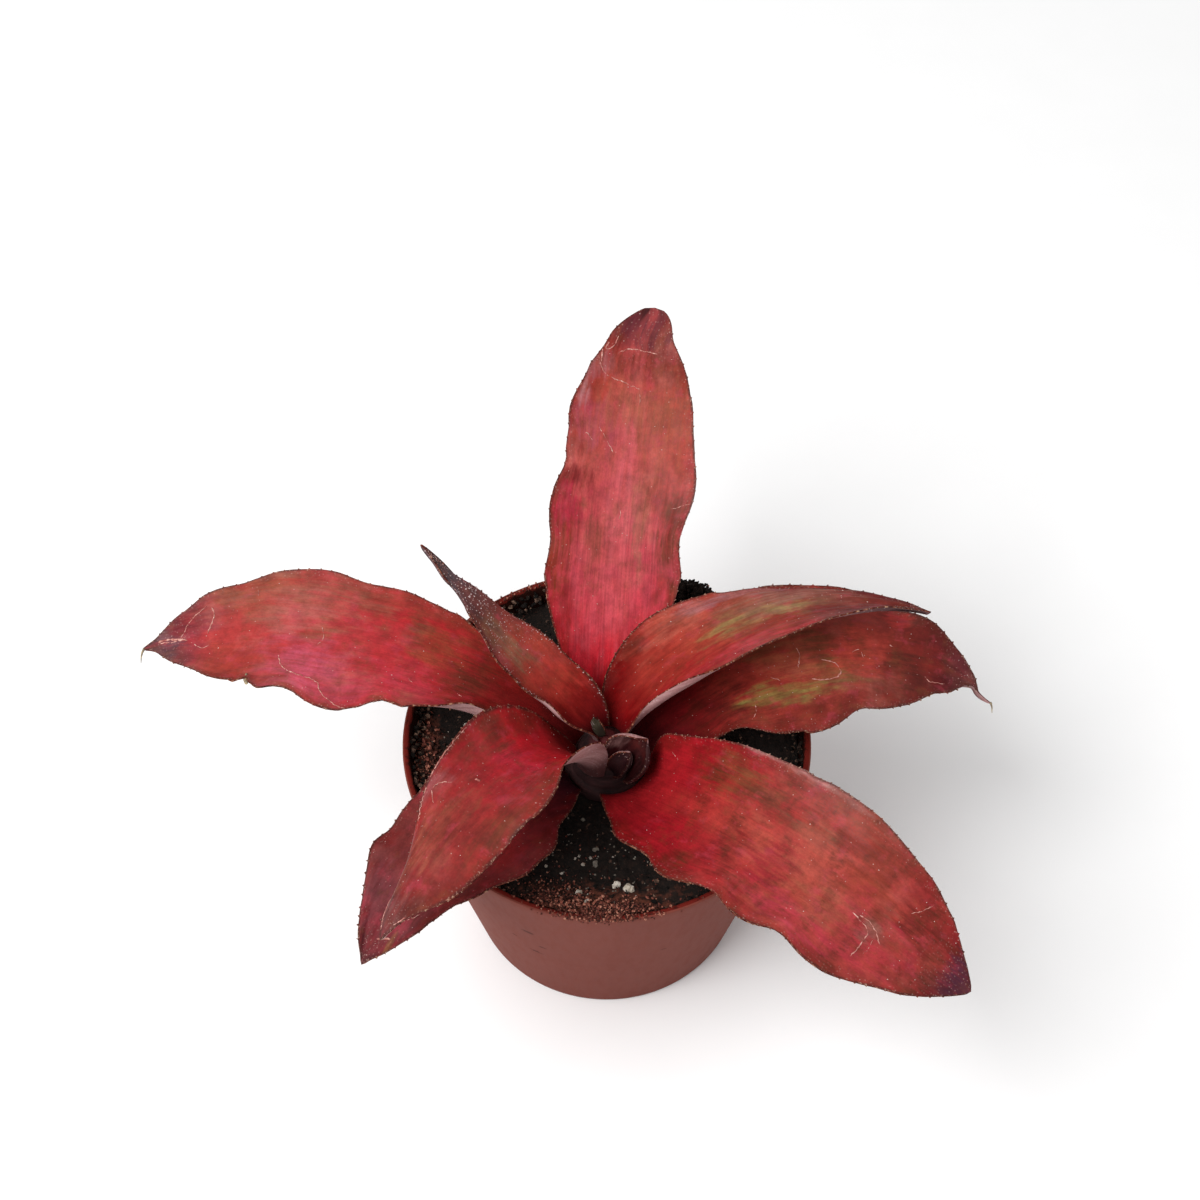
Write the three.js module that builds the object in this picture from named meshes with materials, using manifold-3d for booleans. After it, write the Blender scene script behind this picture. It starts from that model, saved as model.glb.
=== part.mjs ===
// Earth star bromeliad (Cryptanthus) growing in a round nursery pot.
// Millimetres, +Z up. The origin is the centre of the pot's flat underside;
// headings are degrees clockwise from +Y, seen from above.
import * as THREE from 'three';
import { mergeVertices } from 'three/addons/utils/BufferGeometryUtils.js';
import Module from 'manifold-3d';

const wasm = await Module();
wasm.setup();

// ---------- driving dimensions ----------

const GAP = 0.3;                   // clearance between pieces that touch

const POT = {
  rimRadius: 45,                   // a 9 cm nursery pot
  baseRadius: 32,
  height: 66,
  wall: 1.5,
  baseEdge: 1.6,                   // rounded edge between base and wall
  baseEdgeFlat: 0.35,              // share of that edge lost by its lower facet
  lip: 0.4,                        // chamfer on both edges of the rim
  innerEdge: 2,                    // sloped corner between floor and wall inside
  holes: 8,
  holeRadius: 3,
  holeCircle: 21,                  // radius of the ring of drainage holes
  sides: 56,
  holeSides: 16,
};

const SOIL = {
  top: 61,                         // level of the filling, 5 mm under the rim
  heapedFront: 2.6,                // extra height where it is heaped at the front
  heapStart: 14,                   // the heap begins this far in front of the axis
  heapReach: 28,                   // and is full after this distance more
  bump: 0.3,                       // height of the uneven places
  lump: 20,                        // and their pitch
  lowerEdge: 2.4,                  // slope at the foot, clear of the pot's corner
  shrink: 0.5,                     // the rim of the filling has sunk by this much
  wallReach: 43,                   // radius at which its level by the wall is taken
  stemLevel: 60.6,                 // highest level beside the stem
  wallLevel: 64,                   // and beside the wall
  rings: 6,
  sides: 48,
};

const STEM = {
  x: 0,
  y: -4,                           // it stands a little in front of the middle
  radius: 9.2,
  edge: 1.5,                       // chamfer at the bottom
  bottom: 49,
  shoulder: 61.5,                  // above this the stem narrows like a cone
  slope: 0.6,                      // radius lost for each mm of height
  neck: 70,                        // from here up it is drawn in by another neckIn
  neckIn: 0.7,
  neckDrop: 1.5,
  top: 74,
  tip: 1,
  sides: 28,
};

const BLADE = {
  middle: 1.6,                     // thickness along the midline
  margin: 0.8,                     // thickness at the margins
  foot: 1.2,                       // thickness where the leaf leaves the stem
  edge: 0.25,                      // the margin is drawn out to a blunt edge
  sheath: 0.12,                    // share of the length that clasps the stem
  sheathClimb: 82,                 // climb of the sheath at its foot, degrees
  footShare: 0.72,                 // the foot is narrower than the base above it
  clasp: 80,                       // most that a foot wraps the stem, half angle
  spine: 0.75,                     // height of a marginal spine
  spineHalfWidth: 0.7,
  spinePitch: 7.6,
  spineLean: 0.4,                  // the spines lean towards the tip
  spinesFrom: 0.15,                // share of the length where the spines begin
  spinesTo: 0.96,
  lastRow: 0.985,                  // the last row of the blade before its point
  footForm: 0.3,                   // length share in which foot passes into blade
  claspForm: 0.4,                  // the same for the wrap around the stem
  tipForm: 0.2,                    // the waves die away over this share at the tip
  tipRound: 2.2,                   // a larger power keeps the blade broad for longer
  thinFrom: 0.7,                   // from here on the blade thins towards the tip
  thin: 0.75,
};

const ACROSS = [-1, -0.55, 0, 0.55, 1];      // places across the blade, margin to margin
const WALK = 160;                            // steps along a leaf's centreline
const STEP = 0.004;                          // small step to find the blade's slope

// Where each leaf sits on the stem and how it grows. foot: height on the stem;
// sweep: how far the heading turns on the way to the tip; rise and fall: climb
// after the sheath and at the tip; base: base width as a share of the width;
// widest: place of the full width along the length; taper: how drawn-out the
// tip is; trough: half angle of the channelled section, middle and tip; tilt:
// sideways lean, base and tip; tip: length of the point beyond the blade; left and
// right: each margin's slow waves (number, phase, lift, swing) and finer ripple
// (number, phase, size). The two leaves curled up in the heart don't clasp the
// stem: seat is the side they stand on, clear their distance from it.
const LEAVES = {
  leaf_back: {
    foot: 67, heading: 1.3, sweep: 9.5, rise: 32.7, fall: 19.9, length: 94.9, width: 30.5,
    base: 0.31, widest: 0.41, taper: 0.49, trough: [13.2, 14], tilt: [-5.8, -2.1], tip: 0.3,
    left: { waves: [4.2, 0.05, 1.25, 0.5], ripple: [6, 0.15, 0.15] },
    right: { waves: [1.55, 0.2, 1.2, 1.15], ripple: [4.25, 0.8, 0.55] },
    color: 0xa84844,
  },
  leaf_left: {
    foot: 65.5, heading: -72.5, sweep: -12, rise: 41, fall: -30.5, length: 105.5, width: 32,
    base: 0.32, widest: 0.59, taper: 1, trough: [12.7, 16], tilt: [-17.2, 13.5], tip: 2,
    left: { waves: [2.2, 0.55, 2.85, -0.25], ripple: [4.85, 0.5, 1.05] },
    right: { waves: [4.15, 0.55, 0.25, 0.45], ripple: [7.9, 0.55, 0.2] },
    color: 0x9c403e,
  },
  leaf_young_left: {
    foot: 73.5, heading: -60.5, sweep: 2.8, rise: 36.9, fall: 42.6, length: 56.7, width: 13.5,
    base: 0.61, widest: 0.27, taper: 1.5, trough: [40.7, 51], tilt: [17.6, 6.3], tip: 0.5,
    left: { waves: [1.95, 0.3, 1.15, 0.85], ripple: [5.6, 0.35, 0.3] },
    right: { waves: [0.6, 0.35, 1.2, 0.85], ripple: [3.2, 0.85, 0.25] },
    color: 0x7c332c,
  },
  leaf_right_upper: {
    foot: 71.9, heading: 45.2, sweep: 51.9, rise: 35.8, fall: -16.9, length: 79, width: 25,
    base: 0.42, widest: 0.31, taper: 1.33, trough: [21.5, 15.4], tilt: [17.7, 23], tip: 0.5,
    left: { waves: [1, 0.1, 1.28, 0.87], ripple: [3, 0.2, 0.2] },
    right: { waves: [1.7, 0.8, 1.3, 0.86], ripple: [5.1, 0.8, 0.4] },
    color: 0x94463a,
  },
  leaf_right_lower: {
    foot: 62.2, heading: 58, sweep: 47, rise: 37.4, fall: -35.4, length: 88.9, width: 34.1,
    base: 0.3, widest: 0.49, taper: 1.82, trough: [6.5, 16.2], tilt: [-10.1, -7.5], tip: 3,
    left: { waves: [2.75, 0.95, 1.12, 0.83], ripple: [5.75, 0.8, 0.4] },
    right: { waves: [2.75, 0.05, 0.94, 1.72], ripple: [5.8, 0.25, 0.65] },
    color: 0x74302d,
  },
  leaf_front_right: {
    foot: 62.3, heading: 142, sweep: -21, rise: 48.8, fall: -26.8, length: 97.5, width: 33.7,
    base: 0.62, widest: 0.55, taper: 0.76, trough: [19, 8.3], tilt: [-23.5, 2.7], tip: 0.3,
    left: { waves: [0.8, 0.8, 0.83, 0.73], ripple: [3.75, 0.15, 0.15] },
    right: { waves: [1.8, 0.8, 0.56, 1.45], ripple: [5.55, 0.25, 1.15] },
    color: 0xa03834,
  },
  leaf_front_left_upper: {
    foot: 66.9, heading: -134.6, sweep: -10.7, rise: 75.8, fall: -47.2, length: 80.8, width: 20.9,
    base: 0.59, widest: 0.47, taper: 0.87, trough: [29.9, 12.2], tilt: [-10.8, -17], tip: 0.5,
    left: { waves: [0.88, 0.66, -2.35, 4.13], ripple: [3.15, 0.7, 1.55] },
    right: { waves: [0.83, 0.98, 3.93, 2.92], ripple: [4.3, 0.6, 0.15] },
    color: 0x8c3634,
  },
  leaf_front_left_lower: {
    foot: 62, heading: -126, sweep: -24.5, rise: 30, fall: -15, length: 68.3, width: 28,
    base: 0.26, widest: 0.44, taper: 0.91, trough: [13, 16], tilt: [3, 1], tip: 0.5,
    left: { waves: [1.45, 0.65, 0.65, 2.1], ripple: [5.85, 0.4, 0.5] },
    right: { waves: [3.7, 0.6, 1.2, 0.55], ripple: [7.1, 0.25, 0.3] },
    color: 0x6c2a2c,
  },
  leaf_heart_inner: {
    seat: 169.9, clear: 3.2,
    foot: 69.9, heading: 69.2, sweep: 5.6, rise: 66.2, fall: 49.4, length: 7.1, width: 5.1,
    base: 0.61, widest: 0.4, taper: 0.9, trough: [62, 50], tilt: [-22.8, -17.3], tip: 0.4,
    left: { waves: [0, 0, 0, 0], ripple: [0, 0, 0] },
    right: { waves: [0, 0, 0, 0], ripple: [0, 0, 0] },
    color: 0x3c2230,
  },
  leaf_heart_hood: {
    seat: 149.7, clear: 3.1,
    foot: 69.9, heading: 59.4, sweep: 7.8, rise: 64.6, fall: 54.8, length: 9.2, width: 14,
    base: 0.7, widest: 0.55, taper: 0.76, trough: [80.7, 68.4], tilt: [-4.8, -22.7], tip: 0.4,
    left: { waves: [0, 0, 0, 0], ripple: [0, 0, 0] },
    right: { waves: [0, 0, 0, 0], ripple: [0, 0, 0] },
    color: 0x9a6460,
  },
  leaf_heart_spike: {
    foot: 75.5, heading: -116.7, sweep: -6, rise: 77.9, fall: 84.7, length: 6.5, width: 3.1,
    base: 0.91, widest: 0.2, taper: 1.2, trough: [55.8, 60], tilt: [2, 0.5], tip: 0.5,
    left: { waves: [0, 0, 0, 0], ripple: [0, 0, 0] },
    right: { waves: [0, 0, 0, 0], ripple: [0, 0, 0] },
    color: 0x54584a,
  },
};

// ---------- small helpers ----------

const radians = THREE.MathUtils.degToRad;
const clamp01 = (x) => Math.min(1, Math.max(0, x));
const smooth = (x) => clamp01(x) ** 2 * (3 - 2 * clamp01(x));
const mix = THREE.MathUtils.lerp;
const cycle = (turns) => Math.sin(2 * Math.PI * turns);

function named(name, geometry, color, roughness = 0.55) {
  const material = new THREE.MeshStandardMaterial({ color, roughness, metalness: 0 });
  const mesh = new THREE.Mesh(geometry, material);
  mesh.name = name;
  return mesh;
}

function indexedGeometry(points, triangles) {
  const geometry = new THREE.BufferGeometry();
  geometry.setAttribute('position', new THREE.Float32BufferAttribute(points, 3));
  geometry.setIndex(triangles);
  geometry.computeVertexNormals();
  return geometry;
}

function solid(geometry) {
  geometry.deleteAttribute('normal');
  geometry.deleteAttribute('uv');
  const merged = mergeVertices(geometry, 1e-4);
  return new wasm.Manifold(new wasm.Mesh({
    numProp: 3,
    vertProperties: new Float32Array(merged.attributes.position.array),
    triVerts: new Uint32Array(merged.index.array),
  }));
}

function solidGeometry(manifold) {
  const mesh = manifold.getMesh();
  return indexedGeometry(Array.from(mesh.vertProperties), Array.from(mesh.triVerts));
}

// A lathe turned about +Z from [radius, height] pairs.
function turned(profile, sides) {
  const points = profile.map(([radius, height]) => new THREE.Vector2(radius, height));
  return new THREE.LatheGeometry(points, sides).rotateX(Math.PI / 2);
}

// ---------- pot ----------

const potOuter = (height) =>
  mix(POT.baseRadius, POT.rimRadius, height / POT.height);
const potInner = (height) => potOuter(height) - POT.wall;

function drainHole(i) {
  const { holes, holeRadius, holeCircle, holeSides, wall } = POT;
  const angle = (i / holes) * 2 * Math.PI;
  const drill = new THREE.CylinderGeometry(holeRadius, holeRadius, 3 * wall, holeSides);
  drill.rotateX(Math.PI / 2);
  return drill.translate(holeCircle * Math.cos(angle), holeCircle * Math.sin(angle), 0);
}

function pot() {
  const { height, wall, baseEdge, baseEdgeFlat, baseRadius, lip, innerEdge } = POT;
  const profile = [
    [0, 0], [baseRadius - baseEdge, 0],
    [baseRadius - baseEdgeFlat, baseEdge * baseEdgeFlat], [potOuter(baseEdge), baseEdge],
    [potOuter(height - lip), height - lip], [potOuter(height) - lip, height],
    [potInner(height) + lip, height], [potInner(height - lip), height - lip],
    [potInner(wall + innerEdge), wall + innerEdge], [potInner(wall) - innerEdge, wall],
    [0, wall],
  ];
  let body = solid(turned(profile, POT.sides));
  for (let i = 0; i < POT.holes; i++) body = body.subtract(solid(drainHole(i)));
  return named('pot', solidGeometry(body), 0x7a4a40, 0.45);
}

// ---------- soil ----------

const soilEdge = (height) => potInner(height) - GAP;

// Level of the soil at a place: uneven, and heaped against the rim at the front.
function soilLevel(x, y) {
  const { top, bump, lump, heapedFront, heapStart, heapReach } = SOIL;
  const uneven = cycle(x / lump) * cycle(y / lump) + cycle((x - 2 * y) / (2 * lump));
  return top + bump * uneven + heapedFront * smooth((-y - heapStart) / heapReach);
}

// A loop of points around the axis at x, y.
function hoop(radius, height, x = 0, y = 0) {
  return (dx, dy) => [x + radius * dx, y + radius * dy, height];
}

// One loop of the uneven top: share runs from 0 at the stem to 1 at the pot's wall.
function soilTopLoop(share) {
  const hole = STEM.radius + GAP;
  return (dx, dy) => {
    const rim = soilLevel(dx * SOIL.wallReach, dy * SOIL.wallReach) - SOIL.shrink;
    const x = mix(STEM.x + dx * hole, dx * soilEdge(rim), share);
    const y = mix(STEM.y + dy * hole, dy * soilEdge(rim), share);
    const highest = mix(SOIL.stemLevel, SOIL.wallLevel, share);
    return [x, y, share === 1 ? rim : Math.min(soilLevel(x, y), highest)];
  };
}

function soil() {
  const { rings, sides, lowerEdge } = SOIL;
  const bottom = POT.wall + GAP;
  const hole = STEM.radius + GAP;
  const holeFloor = STEM.bottom - GAP;
  const shoulder = soilEdge(bottom + lowerEdge);
  const loops = [hoop(shoulder - lowerEdge, bottom), hoop(shoulder, bottom + lowerEdge)];
  for (let k = 0; k <= rings; k++) loops.push(soilTopLoop(1 - k / rings));
  loops.push(hoop(hole, holeFloor, STEM.x, STEM.y));

  const points = [];
  for (const loop of loops) {
    for (let i = 0; i < sides; i++) {
      const angle = (i / sides) * 2 * Math.PI;
      points.push(...loop(Math.cos(angle), Math.sin(angle)));
    }
  }
  const under = points.length / 3;
  points.push(0, 0, bottom, STEM.x, STEM.y, holeFloor);

  const triangles = [];
  const last = (loops.length - 1) * sides;
  for (let i = 0; i < sides; i++) {
    const j = (i + 1) % sides;
    for (let row = 0; row < last; row += sides) {
      triangles.push(row + i, row + j, row + sides + j);
      triangles.push(row + i, row + sides + j, row + sides + i);
    }
    triangles.push(under, j, i, under + 1, last + i, last + j);
  }
  return named('soil', indexedGeometry(points, triangles), 0x17100c, 0.95);
}

// ---------- stem ----------

const stemRadius = (height) =>
  STEM.radius - STEM.slope * Math.max(0, height - STEM.shoulder);

function stem() {
  const { bottom, edge, shoulder, neck, neckIn, neckDrop, top, radius, sides } = STEM;
  const profile = [
    [0, bottom], [radius - edge, bottom], [radius, bottom + edge], [radius, shoulder],
    [stemRadius(neck), neck], [stemRadius(neck + neckDrop) - neckIn, neck + neckDrop],
    [stemRadius(top) - neckIn, top], [0, top],
  ];
  const geometry = turned(profile, sides).translate(STEM.x, STEM.y, 0);
  return named('stem', solidGeometry(solid(geometry)), 0x3c2024, 0.7);
}

// ---------- leaves ----------

// The inner face of a leaf's foot lies on the stem, one clearance away; the
// youngest leaf stands on top of the stem, at its tip radius.
const footRadius = (leaf) => Math.max(stemRadius(leaf.foot), STEM.tip) + GAP;

function climb(leaf, t) {
  const sheath = clamp01(1 - t / BLADE.sheath) ** 2;
  return radians(mix(leaf.rise, leaf.fall, t) + (BLADE.sheathClimb - leaf.rise) * sheath);
}

function direction(leaf, t) {
  const heading = radians(leaf.heading + leaf.sweep * t);
  const up = climb(leaf, t);
  return new THREE.Vector3(
    Math.cos(up) * Math.sin(heading), Math.cos(up) * Math.cos(heading), Math.sin(up));
}

// The centreline, walked in short steps from the foot to the tip. A leaf grows
// from the side of the stem it heads for, unless it has a seat of its own.
function centreline(leaf) {
  const start = radians(leaf.seat ?? leaf.heading);
  const reach = footRadius(leaf) + (leaf.clear ?? 0);
  const at = new THREE.Vector3(
    STEM.x + reach * Math.sin(start), STEM.y + reach * Math.cos(start), leaf.foot);
  const line = [at.clone()];
  for (let i = 0; i < WALK; i++) {
    at.addScaledVector(direction(leaf, (i + 0.5) / WALK), leaf.length / WALK);
    line.push(at.clone());
  }
  return (t) => {
    const place = clamp01(t) * WALK;
    const i = Math.min(WALK - 1, Math.floor(place));
    return line[i].clone().lerp(line[i + 1], place - i);
  };
}

function widthAt(leaf, t) {
  const widening = mix(leaf.base, 1, Math.sin((Math.PI / 2) * clamp01(t / leaf.widest)));
  const past = clamp01((t - leaf.widest) / (1 - leaf.widest));
  const share = t < leaf.widest ? widening : (1 - past ** BLADE.tipRound) ** leaf.taper;
  return leaf.width * share * mix(BLADE.footShare, 1, smooth(t / BLADE.sheath));
}

// Half angle of the section: the foot wraps the stem, the blade is a shallow trough.
function troughAt(leaf, t) {
  const wrap = (leaf.width * leaf.base * BLADE.footShare) / 2 / footRadius(leaf);
  const [middle, tip] = leaf.trough.map(radians);
  const clasp = leaf.seat ? middle : Math.min(wrap, radians(BLADE.clasp));
  const form = BLADE.claspForm;
  return t < form
    ? mix(clasp, middle, smooth(t / form))
    : mix(middle, tip, smooth((t - form) / (1 - form)));
}

function thicknessAt(s, t) {
  const { foot, middle, margin, footForm, thin, thinFrom } = BLADE;
  const thick = mix(foot, middle, smooth(t / footForm));
  const thinning = smooth((t - thinFrom) / (1 - thinFrom));
  return mix(margin, thick, 1 - s * s) * mix(1, thin, thinning);
}

// The blade's own directions at a place: across it to the right, and out of its face.
function blade(leaf, t) {
  const along = direction(leaf, t);
  const heading = radians(leaf.heading + leaf.sweep * t);
  const side = new THREE.Vector3(Math.cos(heading), -Math.sin(heading), 0);
  const up = side.clone().cross(along);
  const tilt = radians(mix(leaf.tilt[0], leaf.tilt[1], t)) * smooth(t / BLADE.sheath);
  const across = side.multiplyScalar(Math.cos(tilt)).addScaledVector(up, Math.sin(tilt));
  return { across, outward: across.clone().cross(along) };
}

// A leaf's upper face: s runs across from the left margin (-1) to the right (1).
function upperFace(leaf) {
  const line = centreline(leaf);
  return (s, t) => {
    const { across, outward } = blade(leaf, t);
    const half = widthAt(leaf, t) / 2;
    const bend = troughAt(leaf, t);
    const { waves: [count, phase, lift, swing], ripple } = s < 0 ? leaf.left : leaf.right;
    const fade = smooth(t / BLADE.footForm) * smooth((1 - t) / BLADE.tipForm);
    const wave = fade * cycle(count * t + phase);
    const fine = fade * ripple[2] * cycle(ripple[0] * t + ripple[1]);
    const sideways = (half / bend) * Math.sin(bend * s)
      + (swing * wave + fine) * s * Math.abs(s);
    const upwards = (half / bend) * (1 - Math.cos(bend * s))
      + (lift * wave + fine) * Math.abs(s) ** 3;
    return line(t).addScaledVector(across, sideways).addScaledVector(outward, upwards);
  };
}

// Places along the blade: an even row, with three close together at each spine.
// A leaf shorter than the spines' pitch carries none.
function stations(leaf) {
  const { spinePitch, spineHalfWidth, spinesFrom, spinesTo, lastRow } = BLADE;
  const rows = [];
  const count = 2 * Math.max(3, Math.round(leaf.length / spinePitch));
  const halfSpine = spineHalfWidth / leaf.length;
  const spined = leaf.length > spinePitch;
  for (let i = 0; i < count; i++) {
    const t = i / count;
    const spiny = i % 2 === 1 && t > spinesFrom && t < spinesTo && spined;
    if (spiny) rows.push({ t: t - halfSpine }, { t, spine: true }, { t: t + halfSpine });
    else rows.push({ t });
  }
  return [...rows.filter((row) => row.t < lastRow), { t: lastRow }];
}

function leafRing(face, row) {
  const { t, spine } = row;
  const upper = [], lower = [];
  let along;
  for (const s of ACROSS) {
    const point = face(s, t);
    along = face(s, t + STEP).sub(face(s, t - STEP));
    const across = face(s + STEP, t).sub(face(s - STEP, t));
    const normal = across.cross(along).normalize();
    upper.push(point);
    lower.push(point.clone().addScaledVector(normal, -thicknessAt(s, t)));
  }
  const edge = (i, inner) => {
    const middle = upper[i].clone().lerp(lower[i], 0.5);
    const outward = upper[i].clone().sub(upper[inner]).normalize();
    const reach = spine ? BLADE.spine : BLADE.edge;
    return middle.addScaledVector(outward, reach)
      .addScaledVector(along.clone().normalize(), spine ? BLADE.spineLean : 0);
  };
  const last = ACROSS.length - 1;
  const right = edge(last, last - 1), left = edge(0, 1);
  return [...upper, right, ...lower.reverse(), left];
}

function leafMesh(name, leaf) {
  const face = upperFace(leaf);
  const rows = stations(leaf);
  const rings = rows.map((row) => leafRing(face, row));
  const size = rings[0].length;
  const wide = ACROSS.length;
  const points = rings.flat().flatMap((p) => [p.x, p.y, p.z]);
  const triangles = [];
  for (let i = 0; i + 1 < rings.length; i++) {
    for (let m = 0; m < size; m++) {
      const n = (m + 1) % size;
      const [a, b, c, d] = [i * size + m, i * size + n, (i + 1) * size + n, (i + 1) * size + m];
      const below = m >= wide + 1 && m < 2 * wide;      // both faces share their diagonals
      triangles.push(...(below ? [a, b, d, b, c, d] : [a, b, c, a, c, d]));
    }
  }
  for (let m = 0; m + 1 < wide; m++) {                   // the foot
    const [a, b, c, d] = [m, 2 * wide - m, 2 * wide - m - 1, m + 1];
    triangles.push(a, b, c, a, c, d);
  }
  triangles.push(0, 2 * wide + 1, 2 * wide, wide - 1, wide + 1, wide);

  const end = (rings.length - 1) * size;                 // the tip
  const tip = face(0, 1).addScaledVector(direction(leaf, 1), leaf.tip);
  const tipIndex = points.length / 3;
  points.push(tip.x, tip.y, tip.z);
  for (let m = 0; m < size; m++) triangles.push(end + m, end + ((m + 1) % size), tipIndex);
  return named(name, indexedGeometry(points, triangles), leaf.color);
}

// ---------- assembly ----------

const plant = new THREE.Group();
plant.add(pot(), soil(), stem());
for (const [name, leaf] of Object.entries(LEAVES)) plant.add(leafMesh(name, leaf));

export default plant;
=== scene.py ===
# %% [markdown]
# # An earth star in its pot
# A small bromeliad, Cryptanthus, grows as a flat rosette in a 9 cm nursery pot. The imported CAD
# model is loaded first: it fixes every size and place, and each piece below is laid over one of
# its solids, in metres, with +Z up and the viewer on the -Y side.

# %% Load the frame
import math
import random

import bpy
import numpy as np
from mathutils import Matrix, Vector, noise


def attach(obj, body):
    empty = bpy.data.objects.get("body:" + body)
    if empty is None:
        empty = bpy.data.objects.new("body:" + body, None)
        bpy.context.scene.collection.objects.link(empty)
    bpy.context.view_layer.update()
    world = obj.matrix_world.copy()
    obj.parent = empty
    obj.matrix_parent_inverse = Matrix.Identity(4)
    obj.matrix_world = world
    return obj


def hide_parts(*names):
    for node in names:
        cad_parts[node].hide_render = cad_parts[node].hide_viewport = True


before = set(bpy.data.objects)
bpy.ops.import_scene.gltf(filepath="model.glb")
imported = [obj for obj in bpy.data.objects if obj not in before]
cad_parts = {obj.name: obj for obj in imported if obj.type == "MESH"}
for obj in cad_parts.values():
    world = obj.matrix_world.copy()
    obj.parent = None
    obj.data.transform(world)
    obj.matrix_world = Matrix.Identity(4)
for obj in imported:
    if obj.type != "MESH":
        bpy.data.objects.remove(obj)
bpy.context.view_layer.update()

MM = 0.001

# %% [markdown]
# ## Small helpers
# Blender's operators act on whatever is selected, so every step starts from nothing selected.
# Faces and edges are then picked in code, by where they lie.


# %% Selecting and finishing
def start_clean():
    if bpy.context.object and bpy.context.object.mode != "OBJECT":
        bpy.ops.object.mode_set(mode="OBJECT")
    bpy.ops.object.select_all(action="DESELECT")


def pick(thing):
    start_clean()
    thing.select_set(True)
    bpy.context.view_layer.objects.active = thing


def edit(action="SELECT"):
    """Open the active mesh, with all of it selected, none of it, or what was selected before."""
    bpy.ops.object.mode_set(mode="EDIT")
    if action:
        bpy.ops.mesh.select_all(action=action)


def leave():
    bpy.ops.object.mode_set(mode="OBJECT")


def leave_closed():
    """Turn every face outwards before leaving the mesh."""
    bpy.ops.mesh.select_all(action="SELECT")
    bpy.ops.mesh.normals_make_consistent(inside=False)
    leave()


def places(mesh):
    flat = np.empty(len(mesh.vertices) * 3)
    mesh.vertices.foreach_get("co", flat)
    return flat.reshape(-1, 3)


def set_places(mesh, points):
    mesh.vertices.foreach_set("co", np.asarray(points, float).ravel())
    mesh.update()


def added(name):
    thing = bpy.context.object
    thing.name = thing.data.name = name
    return thing


def apply_place(thing):
    pick(thing)
    bpy.ops.object.transform_apply(location=True, rotation=True, scale=True)


def apply_all(thing):
    pick(thing)
    for modifier in list(thing.modifiers):
        bpy.ops.object.modifier_apply(modifier=modifier.name)


def smooth_corners(thing, degrees):
    pick(thing)
    bpy.ops.object.shade_smooth_by_angle(angle=math.radians(degrees))


def new_piece(name, points, faces, finish):
    mesh = bpy.data.meshes.new(name)
    mesh.from_pydata(points, [], faces)
    mesh.materials.append(finish)
    thing = bpy.data.objects.new(name, mesh)
    bpy.context.scene.collection.objects.link(thing)
    return thing


def goes_along(thing):
    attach(thing, "root")
    print(thing.name, "has", len(thing.data.polygons), "faces")


def stands_for(thing, node):
    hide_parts(node)
    goes_along(thing)
    print(thing.name, "stands for", node)


# %% [markdown]
# ## Camera
# The camera looks down on the plant from the front, 54.55 degrees above the horizon. The lens is
# given in millimetres on a 36 mm sensor, worked out for a square picture 1200 pixels wide.

# %% Camera
PICTURE = 1200
FOCAL_PIXELS = 2183.5
SENSOR = 36
ABOVE_HORIZON = 54.55

bpy.ops.object.camera_add(
    location=(-1.5 * MM, -253.8 * MM, 474.4 * MM),
    rotation=(math.radians(90 - ABOVE_HORIZON), 0, 0),
)
camera = bpy.context.object
camera.data.sensor_width = SENSOR
camera.data.lens = SENSOR * FOCAL_PIXELS / PICTURE
bpy.context.scene.camera = camera
print("lens", round(camera.data.lens, 1), "mm")

# %% [markdown]
# ## Painting helpers
# A finish is a tree of nodes. Each method adds one node, or a few that belong together, and
# gives back the result, so that a finish reads as a list of layers: a ground colour, then veils
# laid over it by masks. Values with no colour, such as masks, are made of noise and arithmetic.


# %% A finish in layers
def linear(hex_colour):
    parts = [int(hex_colour[i : i + 2], 16) / 255 for i in (0, 2, 4)]
    bright = [c / 12.92 if c <= 0.04045 else ((c + 0.055) / 1.055) ** 2.4 for c in parts]
    return (*bright, 1.0)


def everyway(stretch):
    return stretch if isinstance(stretch, tuple) else (stretch,) * 3


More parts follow.
